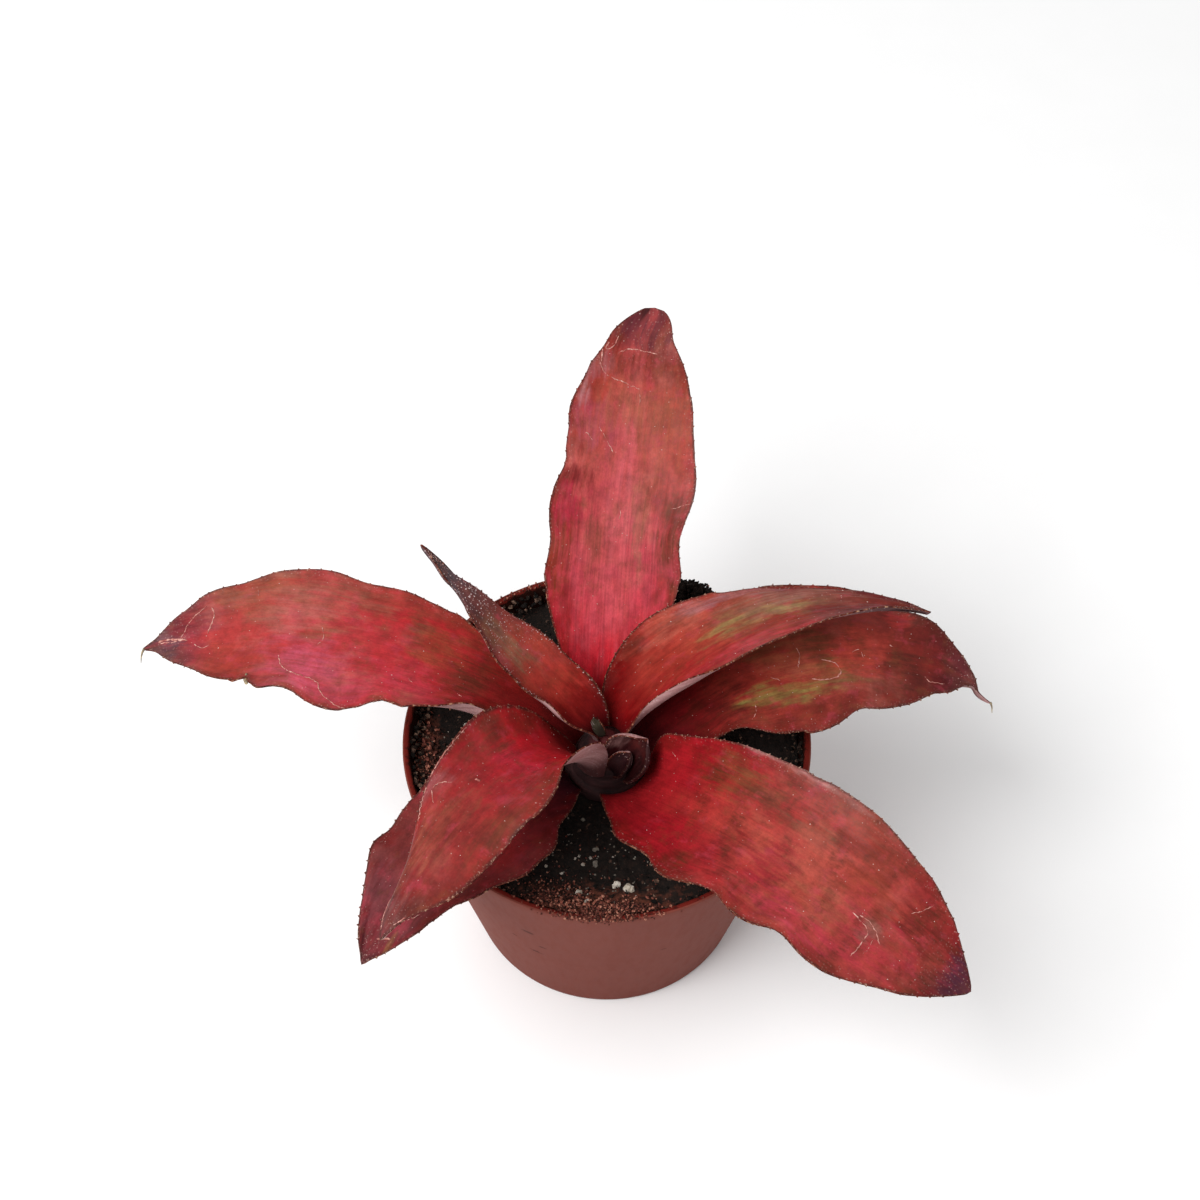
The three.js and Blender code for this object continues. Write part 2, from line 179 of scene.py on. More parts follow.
class Paint:
    """A material under way: its tree, its shader, and the colour that the layers have made."""

    def __init__(self, name, roughness, gloss, ground="808080"):
        self.made = bpy.data.materials.new(name)
        self.made.use_nodes = True
        self.tree = self.made.node_tree
        self.shader = self.tree.nodes["Principled BSDF"]
        self.colour = linear(ground)
        self.feed(self.shader, {"Roughness": roughness, "Specular IOR Level": gloss})

    def feed(self, node, sockets):
        for key, value in sockets.items():
            if isinstance(value, bpy.types.NodeSocket):
                self.tree.links.new(value, node.inputs[key])
            else:
                node.inputs[key].default_value = value

    def node(self, kind, sockets, **settings):
        made = self.tree.nodes.new("ShaderNode" + kind)
        for key, value in settings.items():
            setattr(made, key, value)
        self.feed(made, sockets)
        return made.outputs

    def maths(self, operation, a, b=0.0):
        return self.node("Math", {0: a, 1: b}, operation=operation)[0]

    def times(self, a, b):
        return self.maths("MULTIPLY", a, b)

    def plus(self, a, b):
        return self.maths("ADD", a, b)

    def between(self, value, low, high, to_low=0.0, to_high=1.0):
        """A soft step: to_low where the value is low, to_high where it is high."""
        sockets = {"Value": value, 1: low, 2: high, 3: to_low, 4: to_high}
        return self.node("MapRange", sockets, interpolation_type="SMOOTHSTEP")[0]

    def vectors(self, operation, a, b):
        return self.node("VectorMath", {0: a, 1: b}, operation=operation)[0]

    def place_mm(self):
        place = self.node("TexCoord", {})["Object"]
        return self.node("VectorMath", {0: place, "Scale": 1 / MM}, operation="SCALE")[0]

    def stored(self, name, output="Vector"):
        return self.node("Attribute", {}, attribute_name=name)[output]

    def split(self, place):
        return self.node("SeparateXYZ", {0: place})

    def mapped(self, place, stretch, shift):
        return self.node("Mapping", {"Vector": place, "Scale": stretch, "Location": shift})[0]

    def cloud(self, place, stretch, seed, detail=3.0, rough=0.55):
        moved = self.mapped(place, everyway(stretch), (seed * 3.7, seed * 5.3, seed))
        sockets = {"Vector": moved, "Scale": 1.0, "Detail": detail, "Roughness": rough}
        return self.node("TexNoise", sockets)[0]

    def specks(self, place, pitch, size, seed):
        moved = self.mapped(place, everyway(1 / pitch), (seed, seed * 2.1, 0))
        away = self.node("TexVoronoi", {"Vector": moved, "Scale": 1.0})["Distance"]
        return self.between(away, size / pitch, 0.5 * size / pitch)

    def round_mask(self, place, centre, radii, ragged, seed, soft=0.3):
        """1 inside an ellipse round centre, fading outwards, with a ragged edge."""
        rough = self.cloud(place, ragged, seed)
        scaled = self.vectors("DIVIDE", self.vectors("SUBTRACT", place, centre), radii)
        length = self.node("VectorMath", {0: scaled}, operation="LENGTH")["Value"]
        reach = self.plus(length, self.between(rough, 0.3, 0.7, -soft, soft))
        return self.between(reach, 0.85 + soft, 0.85 - soft)

    def ramp(self, value, stops):
        """The ground colour, by a value that runs over the stops."""
        made = self.tree.nodes.new("ShaderNodeValToRGB")
        self.feed(made, {"Fac": value})
        bands = made.color_ramp.elements
        while len(bands) < len(stops):
            bands.new(0.5)
        for band, (at, colour) in zip(bands, stops):
            band.position = at
            band.color = linear(colour)
        self.colour = made.outputs[0]

    def veil(self, amount, colour):
        sockets = {0: amount, 6: self.colour, 7: linear(colour)}
        self.colour = self.node("Mix", sockets, data_type="RGBA")[2]

    def shade(self, value):
        self.colour = self.node("HueSaturation", {"Color": self.colour, "Value": value})[0]

    def finished(self, height, depth_mm, strength):
        """Close the layers with a relief, and give back the material."""
        sockets = {"Height": height, "Distance": depth_mm * MM, "Strength": strength}
        normal = self.node("Bump", sockets)[0]
        self.feed(self.shader, {"Base Color": self.colour, "Normal": normal})
        return self.made


# %% [markdown]
# ## Floor and light
# The plant stands on a pale sheet that is almost burnt out to white. A big soft lamp hangs high
# on the left and a little to the front, so the shadow falls to the right and behind. The white
# surroundings fill the rest.

# %% Floor
start_clean()
bpy.ops.mesh.primitive_plane_add(size=6)
floor = added("floor")
paper = Paint("pale_paper", 0.9, 0.1, "f2f2f2")
paper.veil(paper.cloud(paper.place_mm(), 0.05, 1), "f5f5f5")
paper.feed(paper.shader, {"Base Color": paper.colour})
floor.data.materials.append(paper.made)

# %% Light
LAMP_TOWARDS = Vector((-0.471, -0.323, 0.821)).normalized()
LAMP_AWAY = 1.3
LAMP_SIZE = 0.9
LAMP_WATTS = 16.4
SKY = 0.6

lamp = bpy.data.lights.new("soft_lamp", "AREA")
lamp.shape = "DISK"
lamp.size = LAMP_SIZE
lamp.energy = LAMP_WATTS
holder = bpy.data.objects.new("soft_lamp", lamp)
bpy.context.scene.collection.objects.link(holder)
holder.location = LAMP_TOWARDS * LAMP_AWAY
holder.rotation_euler = LAMP_TOWARDS.to_track_quat("Z", "Y").to_euler()

world = bpy.data.worlds.new("white_room")
world.use_nodes = True
world.node_tree.nodes["Background"].inputs["Color"].default_value = (1.0, 1.0, 1.0, 1.0)
world.node_tree.nodes["Background"].inputs["Strength"].default_value = SKY
bpy.context.scene.world = world
bpy.context.scene.view_settings.view_transform = "Standard"
print("lamp", LAMP_WATTS, "W, surroundings", SKY)

# %% [markdown]
# ## The pot
# A nursery pot is one thin moulding in brown polypropylene. It could be turned by spinning its
# section, but drawing it up from a disc is closer to how the wall thins and flares: the disc is
# the base, each extrusion goes a little up and out, and the last ones come back down inside.

# %% Pot, drawn up from a disc
POT_SIDES = 160
POT_BASE = 32.0
POT_RIM = 45.0
POT_HEIGHT = 66.0
POT_WALL = 1.5


def pot_outer(height):
    return POT_BASE + (POT_RIM - POT_BASE) * height / POT_HEIGHT


def disc(name, sides, radius, place=(0, 0, 0), fill="NGON"):
    start_clean()
    bpy.ops.mesh.primitive_circle_add(
        vertices=sides, radius=radius * MM, fill_type=fill, location=[c * MM for c in place]
    )
    made = added(name)
    apply_place(made)
    return made


def draw_up(old_radius, old_height, radius, height, axis=(0, 0)):
    """Extrude what is selected to a new ring around the axis."""
    rise = (height - old_height) * MM
    bpy.ops.mesh.extrude_region_move(TRANSFORM_OT_translate={"value": (0, 0, rise)})
    grow = radius / old_radius
    centre = (axis[0] * MM, axis[1] * MM, height * MM)
    bpy.ops.transform.resize(value=(grow, grow, 1), center_override=centre)


POT_SECTION = [
    (POT_BASE - 0.9, 0.0),
    (POT_BASE - 0.3, 0.25),
    *[(pot_outer(h), h) for h in (0.9, 2.2, 10, 20, 30, 40, 50, 58, 63, 65.4)],
    (POT_RIM - 0.15, 65.85),
    (POT_RIM - 0.45, POT_HEIGHT),
    (POT_RIM - POT_WALL + 0.45, POT_HEIGHT),
    (POT_RIM - POT_WALL + 0.1, 65.8),
    *[(pot_outer(h) - POT_WALL, h) for h in (65.3, 62, 55, 45, 35, 25, 15, 6)],
    (pot_outer(3.2) - POT_WALL - 0.4, 3.2),
    (pot_outer(1.9) - POT_WALL - 1.8, 1.9),
    (pot_outer(1.5) - POT_WALL - 3.2, POT_WALL),
]

pot = disc("nursery_pot", POT_SIDES, POT_SECTION[0][0])
edit()
for lower, upper in zip(POT_SECTION, POT_SECTION[1:]):
    draw_up(*lower, *upper)
bpy.ops.mesh.select_all(action="SELECT")
bpy.ops.mesh.remove_doubles(threshold=0.01 * MM)
leave_closed()
print("pot walls:", len(pot.data.polygons), "faces")

# %% [markdown]
# The base is drilled with eight drainage holes. One drill is modelled with a slightly flared
# mouth, copied round the ring, and all eight are taken out of the base with a Boolean.

# %% Drainage holes
HOLES = 8
HOLE_RADIUS = 3.0
HOLE_RING = 21.0
DRILL_MIDDLE = 0.9

start_clean()
bpy.ops.mesh.primitive_cylinder_add(
    vertices=36, radius=HOLE_RADIUS * MM, depth=2 * MM,
    location=(HOLE_RING * MM, 0, DRILL_MIDDLE * MM),
)
drill = added("drill")
edit("DESELECT")
leave()
for face in drill.data.polygons:
    face.select = face.normal.z < -0.5
edit(None)
bpy.ops.mesh.extrude_region_move(TRANSFORM_OT_translate={"value": (0, 0, -0.5 * MM)})
bpy.ops.transform.resize(value=(1.16, 1.16, 1))
leave()
apply_place(drill)
one = places(drill.data)
drills = [drill]
for i in range(1, HOLES):
    turned = drill.copy()
    turned.data = drill.data.copy()
    bpy.context.scene.collection.objects.link(turned)
    a = 2 * math.pi * i / HOLES
    turn = np.array([[math.cos(a), -math.sin(a), 0], [math.sin(a), math.cos(a), 0], [0, 0, 1]])
    set_places(turned.data, one @ turn.T)
    drills.append(turned)
start_clean()
for each in drills:
    each.select_set(True)
bpy.context.view_layer.objects.active = drill
bpy.ops.object.join()
pick(pot)
cut = pot.modifiers.new("drainage", "BOOLEAN")
cut.operation = "DIFFERENCE"
cut.solver = "EXACT"
cut.object = drill
apply_all(pot)
bpy.data.objects.remove(drill)
smooth_corners(pot, 40)
print("pot with holes:", len(pot.data.polygons), "faces")

# %% [markdown]
# The plastic is terracotta brown and satin outside. Against the light the thin wall glows a
# warmer red on the inside and along the rim, so those faces get a second finish with the glow
# painted in, darkened almost to black below the rim. Faint flow marks run up the wall, and
# handling has nicked it.

# %% Pot plastic
POT_ROUGHNESS = 0.55
# nicks in the front wall: place on the wall and half width in mm
NICKS = [(-17.2, -37.2, 45.6, 1.6), (-14.2, -37.0, 37.0, 0.8), (-15.6, -34.8, 31.5, 1.3),
         (12.5, -37.6, 38, 0.7), (-20.5, -33.5, 37.5, 0.6)]


def nicked(paint, place):
    for number, (x, y, z, size) in enumerate(NICKS):
        radii = (size, 4.0, 0.35 * size + 0.2)
        mask = paint.round_mask(place, (x, y, z), radii, 1.5, number, 0.4)
        paint.veil(paint.times(mask, 0.8), "451c16")


def darkened_below_rim(paint, place):
    # The inside wall is darkened almost to black from just below the rim downwards.
    ragged = paint.between(paint.cloud(place, 0.5, 6, 4.0, 0.65), 0.3, 0.7, -0.5, 0.5)
    height = paint.plus(paint.split(place)[2], ragged)
    paint.veil(paint.between(height, 65.95, 65.3, 0.0, 0.92), "1d120e")


def pot_plastic(name, ground, glow, marked):
    paint = Paint(name, POT_ROUGHNESS, 0.03, ground)
    place = paint.place_mm()
    flow = paint.cloud(place, (0.06, 0.06, 0.015), 3, 1.0)
    paint.veil(paint.between(flow, 0.3, 0.7, 0.0, 0.4), glow)
    wash = paint.between(paint.cloud(place, 0.03, 8, 2.0), 0.45, 0.6, 0.0, 0.5)
    paint.veil(paint.times(paint.specks(place, 2.6, 0.16, 4), wash), "4a2a24")
    fine = paint.cloud(place, (0.9, 0.9, 0.25), 5)
    paint.shade(paint.between(fine, 0.2, 0.8, 0.96, 1.04))
    marked(paint, place)
    scuff = paint.cloud(place, (0.5, 0.5, 0.12), 9)
    dull = paint.between(scuff, 0.4, 0.75, POT_ROUGHNESS, POT_ROUGHNESS + 0.06)
    paint.feed(paint.shader, {"Roughness": dull})
    return paint.finished(fine, 0.06, 0.25)


pot.data.materials.append(pot_plastic("pot_brown", "703a31", "763f35", nicked))
pot.data.materials.append(pot_plastic("pot_red_edge", "621d17", "6c241d", darkened_below_rim))
for face in pot.data.polygons:
    x, y, z = face.center / MM
    wall_middle = pot_outer(z) - POT_WALL / 2
    face.material_index = int(math.hypot(x, y) < wall_middle and z > 1.2)
stands_for(pot, "pot")

# %% [markdown]
# ## The peat
# The filling is dark crumbly peat, sunk a few millimetres below the rim and heaped up against it
# at the front. Its surface is drawn inwards from the wall to the stem in many narrow rings and
# then roughened in code, because crumbs of one to three millimetres need real relief.

# %% Height of the peat
STEM_X = 0.0
STEM_Y = -4.0
STEM_RADIUS = 9.2
CLEAR = 0.3
PEAT_LEVEL = 61.0


def ease(x):
    x = np.clip(x, 0, 1)
    return x * x * (3 - 2 * x)


def mix(a, b, share):
    return a + (b - a) * share


def cycle(turns):
    return np.sin(2 * np.pi * turns)


def peat_level(x, y):
    """Height of the filling before its crumbs, in mm."""
    uneven = cycle(x / 20) * cycle(y / 20) + cycle((x - 2 * y) / 40)
    return PEAT_LEVEL + 0.3 * uneven + 2.6 * ease((-y - 14) / 28)


def front_heap(x, y):
    """Extra height where dry crumbs are heaped against the rim at the front."""
    across = ease(1 - abs(x + 3) / 24)
    return 3.0 * across * ease((-y - 33) / 9)


def crumbly(x, y):
    at = Vector((x, y, 0.0))
    lumps = noise.noise(at * 0.16) * 0.9
    crumbs = (abs(noise.noise(at * 0.42 + Vector((7, 3, 1)))) - 0.25) * 1.3
    fine = noise.noise(at * 1.1 + Vector((2, 9, 4))) * 0.45
    grit = noise.noise(at * 2.6) * 0.22
    return lumps + crumbs + fine + grit


def peat_top(x, y, at_stem=0.0):
    """Height of the filling with its crumbs, which are finer by the wall and the stem."""
    at_wall = ease((math.hypot(x, y) - 39) / 3.8)
    level = peat_level(x, y) + front_heap(x, y)
    return float(level + crumbly(x, y) * (1 - 0.75 * at_stem) * (1 - 0.35 * at_wall))


# %% Peat, drawn in from the wall
PEAT_SIDES = 220
PEAT_RINGS = 62
PEAT_BOTTOM = 1.8
PEAT_HIGHEST = 65.6
PEAT_BY_STEM = 60.6
STEM_HOLE = STEM_RADIUS + CLEAR
STEM_HOLE_DEPTH = 12.3


def peat_edge(height):
    return pot_outer(height) - POT_WALL - CLEAR


peat = disc("peat_filling", PEAT_SIDES, peat_edge(PEAT_LEVEL), (0, 0, PEAT_LEVEL), "NOTHING")
edit()
radius, height = peat_edge(PEAT_LEVEL), PEAT_LEVEL
for level in (45.0, 25.0, 4.2):
    draw_up(radius, height, peat_edge(level), level)
    radius, height = peat_edge(level), level
draw_up(radius, height, radius - 2.4, PEAT_BOTTOM)
bpy.ops.mesh.edge_face_add()
bpy.ops.mesh.select_all(action="DESELECT")
leave()
for edge in peat.data.edges:
    ends = [peat.data.vertices[i].co.z for i in edge.vertices]
    edge.select = min(ends) > (PEAT_LEVEL - 0.1) * MM
edit(None)
radius = peat_edge(PEAT_LEVEL)
for ring in range(1, PEAT_RINGS + 1):
    share = ring / PEAT_RINGS
    wanted = mix(peat_edge(PEAT_LEVEL), STEM_HOLE, share)
    slide = STEM_Y / PEAT_RINGS * MM
    bpy.ops.mesh.extrude_region_move(TRANSFORM_OT_translate={"value": (0, slide, 0)})
    middle = (0, STEM_Y * share * MM, PEAT_LEVEL * MM)
    bpy.ops.transform.resize(value=(wanted / radius, wanted / radius, 1), center_override=middle)
    radius = wanted
down = (0, 0, -STEM_HOLE_DEPTH * MM)
bpy.ops.mesh.extrude_region_move(TRANSFORM_OT_translate={"value": down})
bpy.ops.mesh.edge_face_add()
leave_closed()

points = places(peat.data) / MM
for i, (x, y, z) in enumerate(points):
    if z < PEAT_LEVEL - 0.1:
        continue
    at_stem = 1 - ease((math.hypot(x - STEM_X, y - STEM_Y) - STEM_HOLE) / 4)
    top = min(peat_top(x, y, at_stem), mix(PEAT_HIGHEST, PEAT_BY_STEM, at_stem))
    spread = peat_edge(top) / peat_edge(PEAT_LEVEL)
    spread = mix(1, spread, ease((math.hypot(x, y) - 30) / 12))
    points[i] = (x * spread, y * spread, top)
set_places(peat.data, points * MM)
smooth_corners(peat, 60)

# %% [markdown]
# Moist peat is nearly black. Along the front rim and at the left it has dried to a reddish
# brown, which is painted by soft round masks, and fine grit speckles all of it.


# %% Peat finish
def peat_finish():
    paint = Paint("moist_peat", 0.95, 0.25)
    place = paint.place_mm()
    grit = paint.cloud(place, 1.6, 2, 5.0, 0.7)
    paint.ramp(grit, [(0.3, "0b0706"), (0.55, "17100c"), (0.75, "33231b")])
    paint.veil(paint.between(paint.cloud(place, 0.35, 6), 0.5, 0.75, 0.0, 0.5), "261812")
    front = paint.round_mask(place, (-4, -42, 64), (21, 7, 30), 0.4, 3)
    left = paint.round_mask(place, (-41, -4, 62), (5, 12, 30), 0.4, 5)
    dried = paint.maths("MAXIMUM", front, left)
    paint.veil(paint.times(dried, paint.between(grit, 0.35, 0.6, 0.35, 1.0)), "5b3022")
    return paint.finished(grit, 0.4, 0.6)


peat.data.materials.append(peat_finish())
stands_for(peat, "soil")

# %% [markdown]
# Loose pieces lie on the peat. A few crumbs or grains of each kind are modelled, then copied to
# many places, turned and sized at random from a fixed seed. Copies of one kind are gathered in
# one mesh, so that hundreds of crumbs stay a single light piece.


# %% A few crumbs, and many copies
POT_INSIDE = 43.0
ROUGHNESS_OF_CRUMBS = 0.16


def rough_balls(name, count, levels, squash, seed):
    """Balls 1 mm across, roughened into crumbs and centred on the origin."""
    balls = []
    for number in range(count):
        start_clean()
        bpy.ops.mesh.primitive_ico_sphere_add(subdivisions=levels, radius=0.5 * MM)
        balls.append(added(name + str(number)))
        edit()
        away = ROUGHNESS_OF_CRUMBS * MM
        bpy.ops.transform.vertex_random(offset=away, uniform=1.0, seed=seed + number)
        bpy.ops.transform.resize(value=(1.0, 0.85, squash))
        leave_closed()
    return balls


def any_turn(rng):
    axis = Vector((rng.gauss(0, 1), rng.gauss(0, 1), rng.gauss(0, 1))).normalized()
    return Matrix.Rotation(rng.uniform(0, 2 * math.pi), 3, axis)


def gathered(name, masters, spots, rng, finish):
    """One mesh of copies: spots are (x, y, z, size) in mm, and a tone from 0 to 1 if wished.
    Every copy carries its tone. The masters are used up."""
    points, faces, tones = [], [], []
    shapes = [(places(m.data), [tuple(p.vertices) for p in m.data.polygons]) for m in masters]
    for x, y, z, size, *tone in spots:
        shape, sides = rng.choice(shapes)
        start = len(points)
        moved = shape @ np.array(any_turn(rng)).T * size + np.array([x, y, z]) * MM
        points.extend(map(tuple, moved))
        faces.extend(tuple(start + i for i in side) for side in sides)
        tones += [tone[0] if tone else rng.random()] * len(shape)
    thing = new_piece(name, points, faces, finish)
    thing.data.attributes.new("tone", "FLOAT", "POINT").data.foreach_set("value", tones)
    for master in masters:
        bpy.data.objects.remove(master)
    goes_along(thing)


def toned_finish(name, roughness, grit, spread, stops, relief):
    """Each copy takes its own colour from the stops by its tone, with grit over it."""
    paint = Paint(name, roughness, 0.2)
    fine = paint.cloud(paint.place_mm(), *grit)
    tone = paint.plus(paint.stored("tone", "Fac"), paint.between(fine, 0.3, 0.7, -spread, spread))
    paint.ramp(tone, stops)
    return paint.finished(fine, *relief)


def crumb_finish(name, stops):
    return toned_finish(name, 0.9, (1.9, 2, 4.0, 0.7), 0.22, stops, (0.3, 0.6))


def around(reach, angle):
    return reach * math.cos(angle), reach * math.sin(angle)


def scattered(rng, count, sizes, limits=(10.5, 42.3), sink=0.25):
    """Spots over the whole filling, clear of the stem."""
    spots = []
    while len(spots) < count:
        angle, reach = rng.uniform(0, 2 * math.pi), limits[1] * math.sqrt(rng.random())
        x, y = around(reach, angle)
        if math.hypot(x - STEM_X, y - STEM_Y) < limits[0]:
            continue
        size = rng.uniform(*sizes)
        spots.append((x, y, peat_top(x, y) - sink * size, size))
    return spots


def heaped(rng, count, sizes, centre, spread, up):
    """Spots heaped about a centre, lying up to so many of their sizes above the peat."""
    spots = []
    while len(spots) < count:
        x, y = rng.gauss(centre[0], spread[0]), rng.gauss(centre[1], spread[1])
        size = rng.uniform(*sizes)
        if math.hypot(x, y) > POT_INSIDE - 0.4 * size:
            continue
        spots.append((x, y, peat_top(x, y) + rng.uniform(-0.2, up) * size, size))
    return spots


# %% [markdown]
# Crumbs also cling to the wall above the filling, and at the back a mound of peat has been
# pushed up over the rim. The mound is filled with crumbs only, large ones under small ones.

# %% A mound on the back rim
MOUND_X, MOUND_Y = 19.5, 38.8
MOUND_PEAK = 70.4
MOUND_SLOPE = 0.3
MOUND_HALF_WIDTH = 6.2
MOUND_HALF_DEPTH = 3.4


def mounded(rng, count, sizes):
    """Spots that fill the mound, most of them near its top; none lies in the pot wall."""
    spots = []
    while len(spots) < count:
        size = rng.uniform(*sizes)
        x, y = MOUND_X + rng.uniform(-8, 8), MOUND_Y + rng.uniform(-4, 4)
        ground, reach = peat_top(x, y), math.hypot(x, y)
        sideways = ((x - MOUND_X) / MOUND_HALF_WIDTH) ** 6
        swell = math.exp(-sideways - ((y - MOUND_Y) / MOUND_HALF_DEPTH) ** 4)
        peak = MOUND_PEAK + MOUND_SLOPE * (x - MOUND_X)
        top = ground + (peak - ground) * swell - 0.4 * size
        low = ground if reach < POT_INSIDE + 0.2 - 0.5 * size else POT_HEIGHT + 0.3 * size
        depth = rng.random() ** 2
        if reach < POT_RIM - 0.2 - 0.5 * size and top > low:
            spots.append((x, y, top - depth * (top - low), size, 0.4))
    return spots


# %% Dark crumbs
SCATTERED_CRUMBS = 1500
WALL_CRUMBS = 900
CLING_LOW, CLING_HIGH = 62.0, 65.2

dark_stops = [(0, "070504"), (0.45, "1a120e"), (0.75, "3a2a22"), (0.92, "5c463a"), (1, "7c6454")]
crumb_rng = random.Random(11)
spots = scattered(crumb_rng, SCATTERED_CRUMBS, (0.4, 1.7))
for _ in range(WALL_CRUMBS):
    angle, z = crumb_rng.uniform(0, 2 * math.pi), crumb_rng.uniform(CLING_LOW, CLING_HIGH)
    reach = pot_outer(z) - POT_WALL - crumb_rng.uniform(0.1, 0.3) - 0.6 * (CLING_HIGH - z)
    size = crumb_rng.uniform(0.5, 1.5)
    spots.append((*around(reach, angle), z - 0.3 * size, size))
spots += mounded(crumb_rng, 150, (1.8, 2.8)) + mounded(crumb_rng, 700, (0.45, 1.1))
crumbs = rough_balls("crumb", 4, 1, 0.8, 1)
gathered("peat_crumbs", crumbs, spots, crumb_rng, crumb_finish("dark_crumb", dark_stops))

# %% [markdown]
# Dried coir is brighter and redder than the peat. Its crumbs are heaped along the front rim and
# by the wall on the left. A few lie on the rim itself, and some at the right end of the mound.

# %% Dried crumbs
# how many, their sizes, the middle of the heap, how far it spreads, how many sizes it rises
HEAPS = [
    (1000, (0.25, 0.62), (-11.5, -40.0), (3.6, 2.8), 1.4),
    (650, (0.25, 0.6), (1.5, -42.2), (4.6, 0.9), 1.4),
    (260, (0.45, 1.3), (-40.0, -3.0), (1.8, 5.5), 0.9),
    (260, (0.25, 0.7), (-40.0, -5.0), (2.0, 6.5), 0.9),
    (120, (0.25, 0.6), (0.0, -33.0), (14.0, 5.0), 0.9),
    (50, (0.3, 0.7), (-24.0, 34.5), (5.0, 2.5), 0.5),
    (300, (0.3, 1.0), (-38.5, -13.0), (1.6, 4.0), 1.2),
]
BRIGHT_HEAP = (110, (0.45, 0.9), (-3.0, -41.4), (6.0, 1.3), 1.3)
FRONT_RIM_CRUMBS = 560
BACK_RIM_CRUMBS = 150

coir_stops = [(0, "1a100c"), (0.4, "3a1e17"), (0.7, "60322a"), (0.9, "884c3c"), (1, "b07c68")]
coir_paint = crumb_finish("dried_coir", coir_stops)
coir_rng = random.Random(23)
spots = []
for heap in HEAPS:
    spots += heaped(coir_rng, *heap)
for spot in heaped(coir_rng, *BRIGHT_HEAP):
    spots.append((*spot, coir_rng.uniform(0.65, 1.0)))
for x, y, z, size, _ in mounded(coir_rng, 260, (0.5, 1.0)):
    if x > MOUND_X + 3.4:
        spots.append((x, y, z + 0.3, size, coir_rng.uniform(0.55, 0.8)))
for _ in range(FRONT_RIM_CRUMBS):
    across, reach = coir_rng.gauss(-0.5, 6.6), coir_rng.uniform(42.6, 45.3)
    size = coir_rng.uniform(0.28, 0.7)
    over = max(0.0, reach - (POT_RIM - 0.1))
    level = POT_HEIGHT + 0.3 * size - over * coir_rng.uniform(0, 3.0)
    y = -math.sqrt(reach**2 - across**2)
    spots.append((across, y, level, size, coir_rng.uniform(0.3, 1.0)))
for _ in range(BACK_RIM_CRUMBS):
    angle, size = math.radians(coir_rng.gauss(112, 16)), coir_rng.uniform(0.3, 0.7)
    place = around(coir_rng.uniform(43.4, 44.8), angle)
    spots.append((*place, POT_HEIGHT + 0.25 * size, size, coir_rng.uniform(0.4, 1.0)))
gathered("coir_crumbs", rough_balls("coir", 4, 1, 0.6, 31), spots, coir_rng, coir_paint)

# %% [markdown]
# Perlite is puffed volcanic glass in white, rounded, slightly hollowed grains. A few large ones
# lie near the front rim, and small chips are strewn about.


# %% Perlite
def perlite_finish():
    paint = Paint("perlite", 0.8, 0.3)
    place = paint.place_mm()
    pores = paint.cloud(place, 2.2, 4)
    stain = paint.cloud(place, 0.45, 7)
    paint.ramp(pores, [(0.25, "8f8072"), (0.5, "cfc6ba"), (0.8, "eceadf")])
    paint.veil(paint.between(stain, 0.45, 0.75, 0.0, 0.65), "8d8068")
    paint.veil(paint.between(paint.stored("tone", "Fac"), 0.9, 0.1, 0.0, 0.85), "453f36")
    return paint.finished(pores, 0.3, 0.6)


# x, y, size in mm, and how clean the grain is
GRAINS = [
    (1.9, -35.2, 1.8, 1), (4.6, -36.8, 2.2, 0.8), (-5.9, -27.9, 0.8, 0.6), (-5.2, -29.8, 0.9, 0.6),
    (-3.5, -28.4, 0.7, 0.5), (-6.8, -28.9, 0.6, 0.5), (-2.4, -26.4, 1.5, 0.15), (-2.5, -29.8, 1.5, 0.15),
    (-5.2, -17.9, 1.1, 0.25), (-5.9, -37.4, 1.5, 0.6), (-4.2, -40.4, 1.4, 0.5), (-9.6, -32.2, 0.9, 0.55),
    (-13, -30.4, 0.8, 0.6), (12.4, -32.2, 0.7, 0.5), (-31.5, 6.5, 1, 0.5),
]
STREWN_CHIPS = 50
FRONT_CHIPS = 110

grain_rng = random.Random(5)
spots = [(x, y, peat_top(x, y) + 0.05 * size, size, tone) for x, y, size, tone in GRAINS]
for spot in scattered(grain_rng, STREWN_CHIPS, (0.25, 0.55), sink=-0.1):
    spots.append((*spot, grain_rng.uniform(0.0, 0.6)))
for _ in range(FRONT_CHIPS):
    x, y = grain_rng.uniform(-16, 13), grain_rng.uniform(-39, -20)
    size = grain_rng.uniform(0.22, 0.5)
    spots.append((x, y, peat_top(x, y) + 0.1 * size, size, grain_rng.uniform(0.0, 0.5)))
grains = rough_balls("grain", 3, 2, 0.75, 51)
gathered("perlite_grains", grains, spots, grain_rng, perlite_finish())

# %% [markdown]
# A coir fibre is a thin bent thread. It is swept as a tube along a few points, thinning towards
# both ends. The same helper later makes the dried lines and the dried threads at the leaf tips.


# %% Threads
THREAD_SIDES = 6


def thread(points, radii):
    """Corners and faces of a closed tube through points, with its radius at each, in mm."""
    points = np.asarray(points, float)
    corners, faces = [], []
    for at, way, radius in zip(points, np.gradient(points, axis=0), radii):
        way = Vector(way).normalized()
        side = way.orthogonal().normalized() if not corners else side - way * side.dot(way)
        side.normalize()
        other = way.cross(side)
        for k in range(THREAD_SIDES):
            a = 2 * math.pi * k / THREAD_SIDES
            corners.append(Vector(at) + (side * math.cos(a) + other * math.sin(a)) * radius)
    last = len(corners) - THREAD_SIDES
    for row in range(0, last, THREAD_SIDES):
        for k in range(THREAD_SIDES):
            a, b = row + k, row + (k + 1) % THREAD_SIDES
            faces.append((a, b, b + THREAD_SIDES, a + THREAD_SIDES))
    faces.append(tuple(reversed(range(THREAD_SIDES))))
    faces.append(tuple(last + k for k in range(THREAD_SIDES)))
    return corners, faces


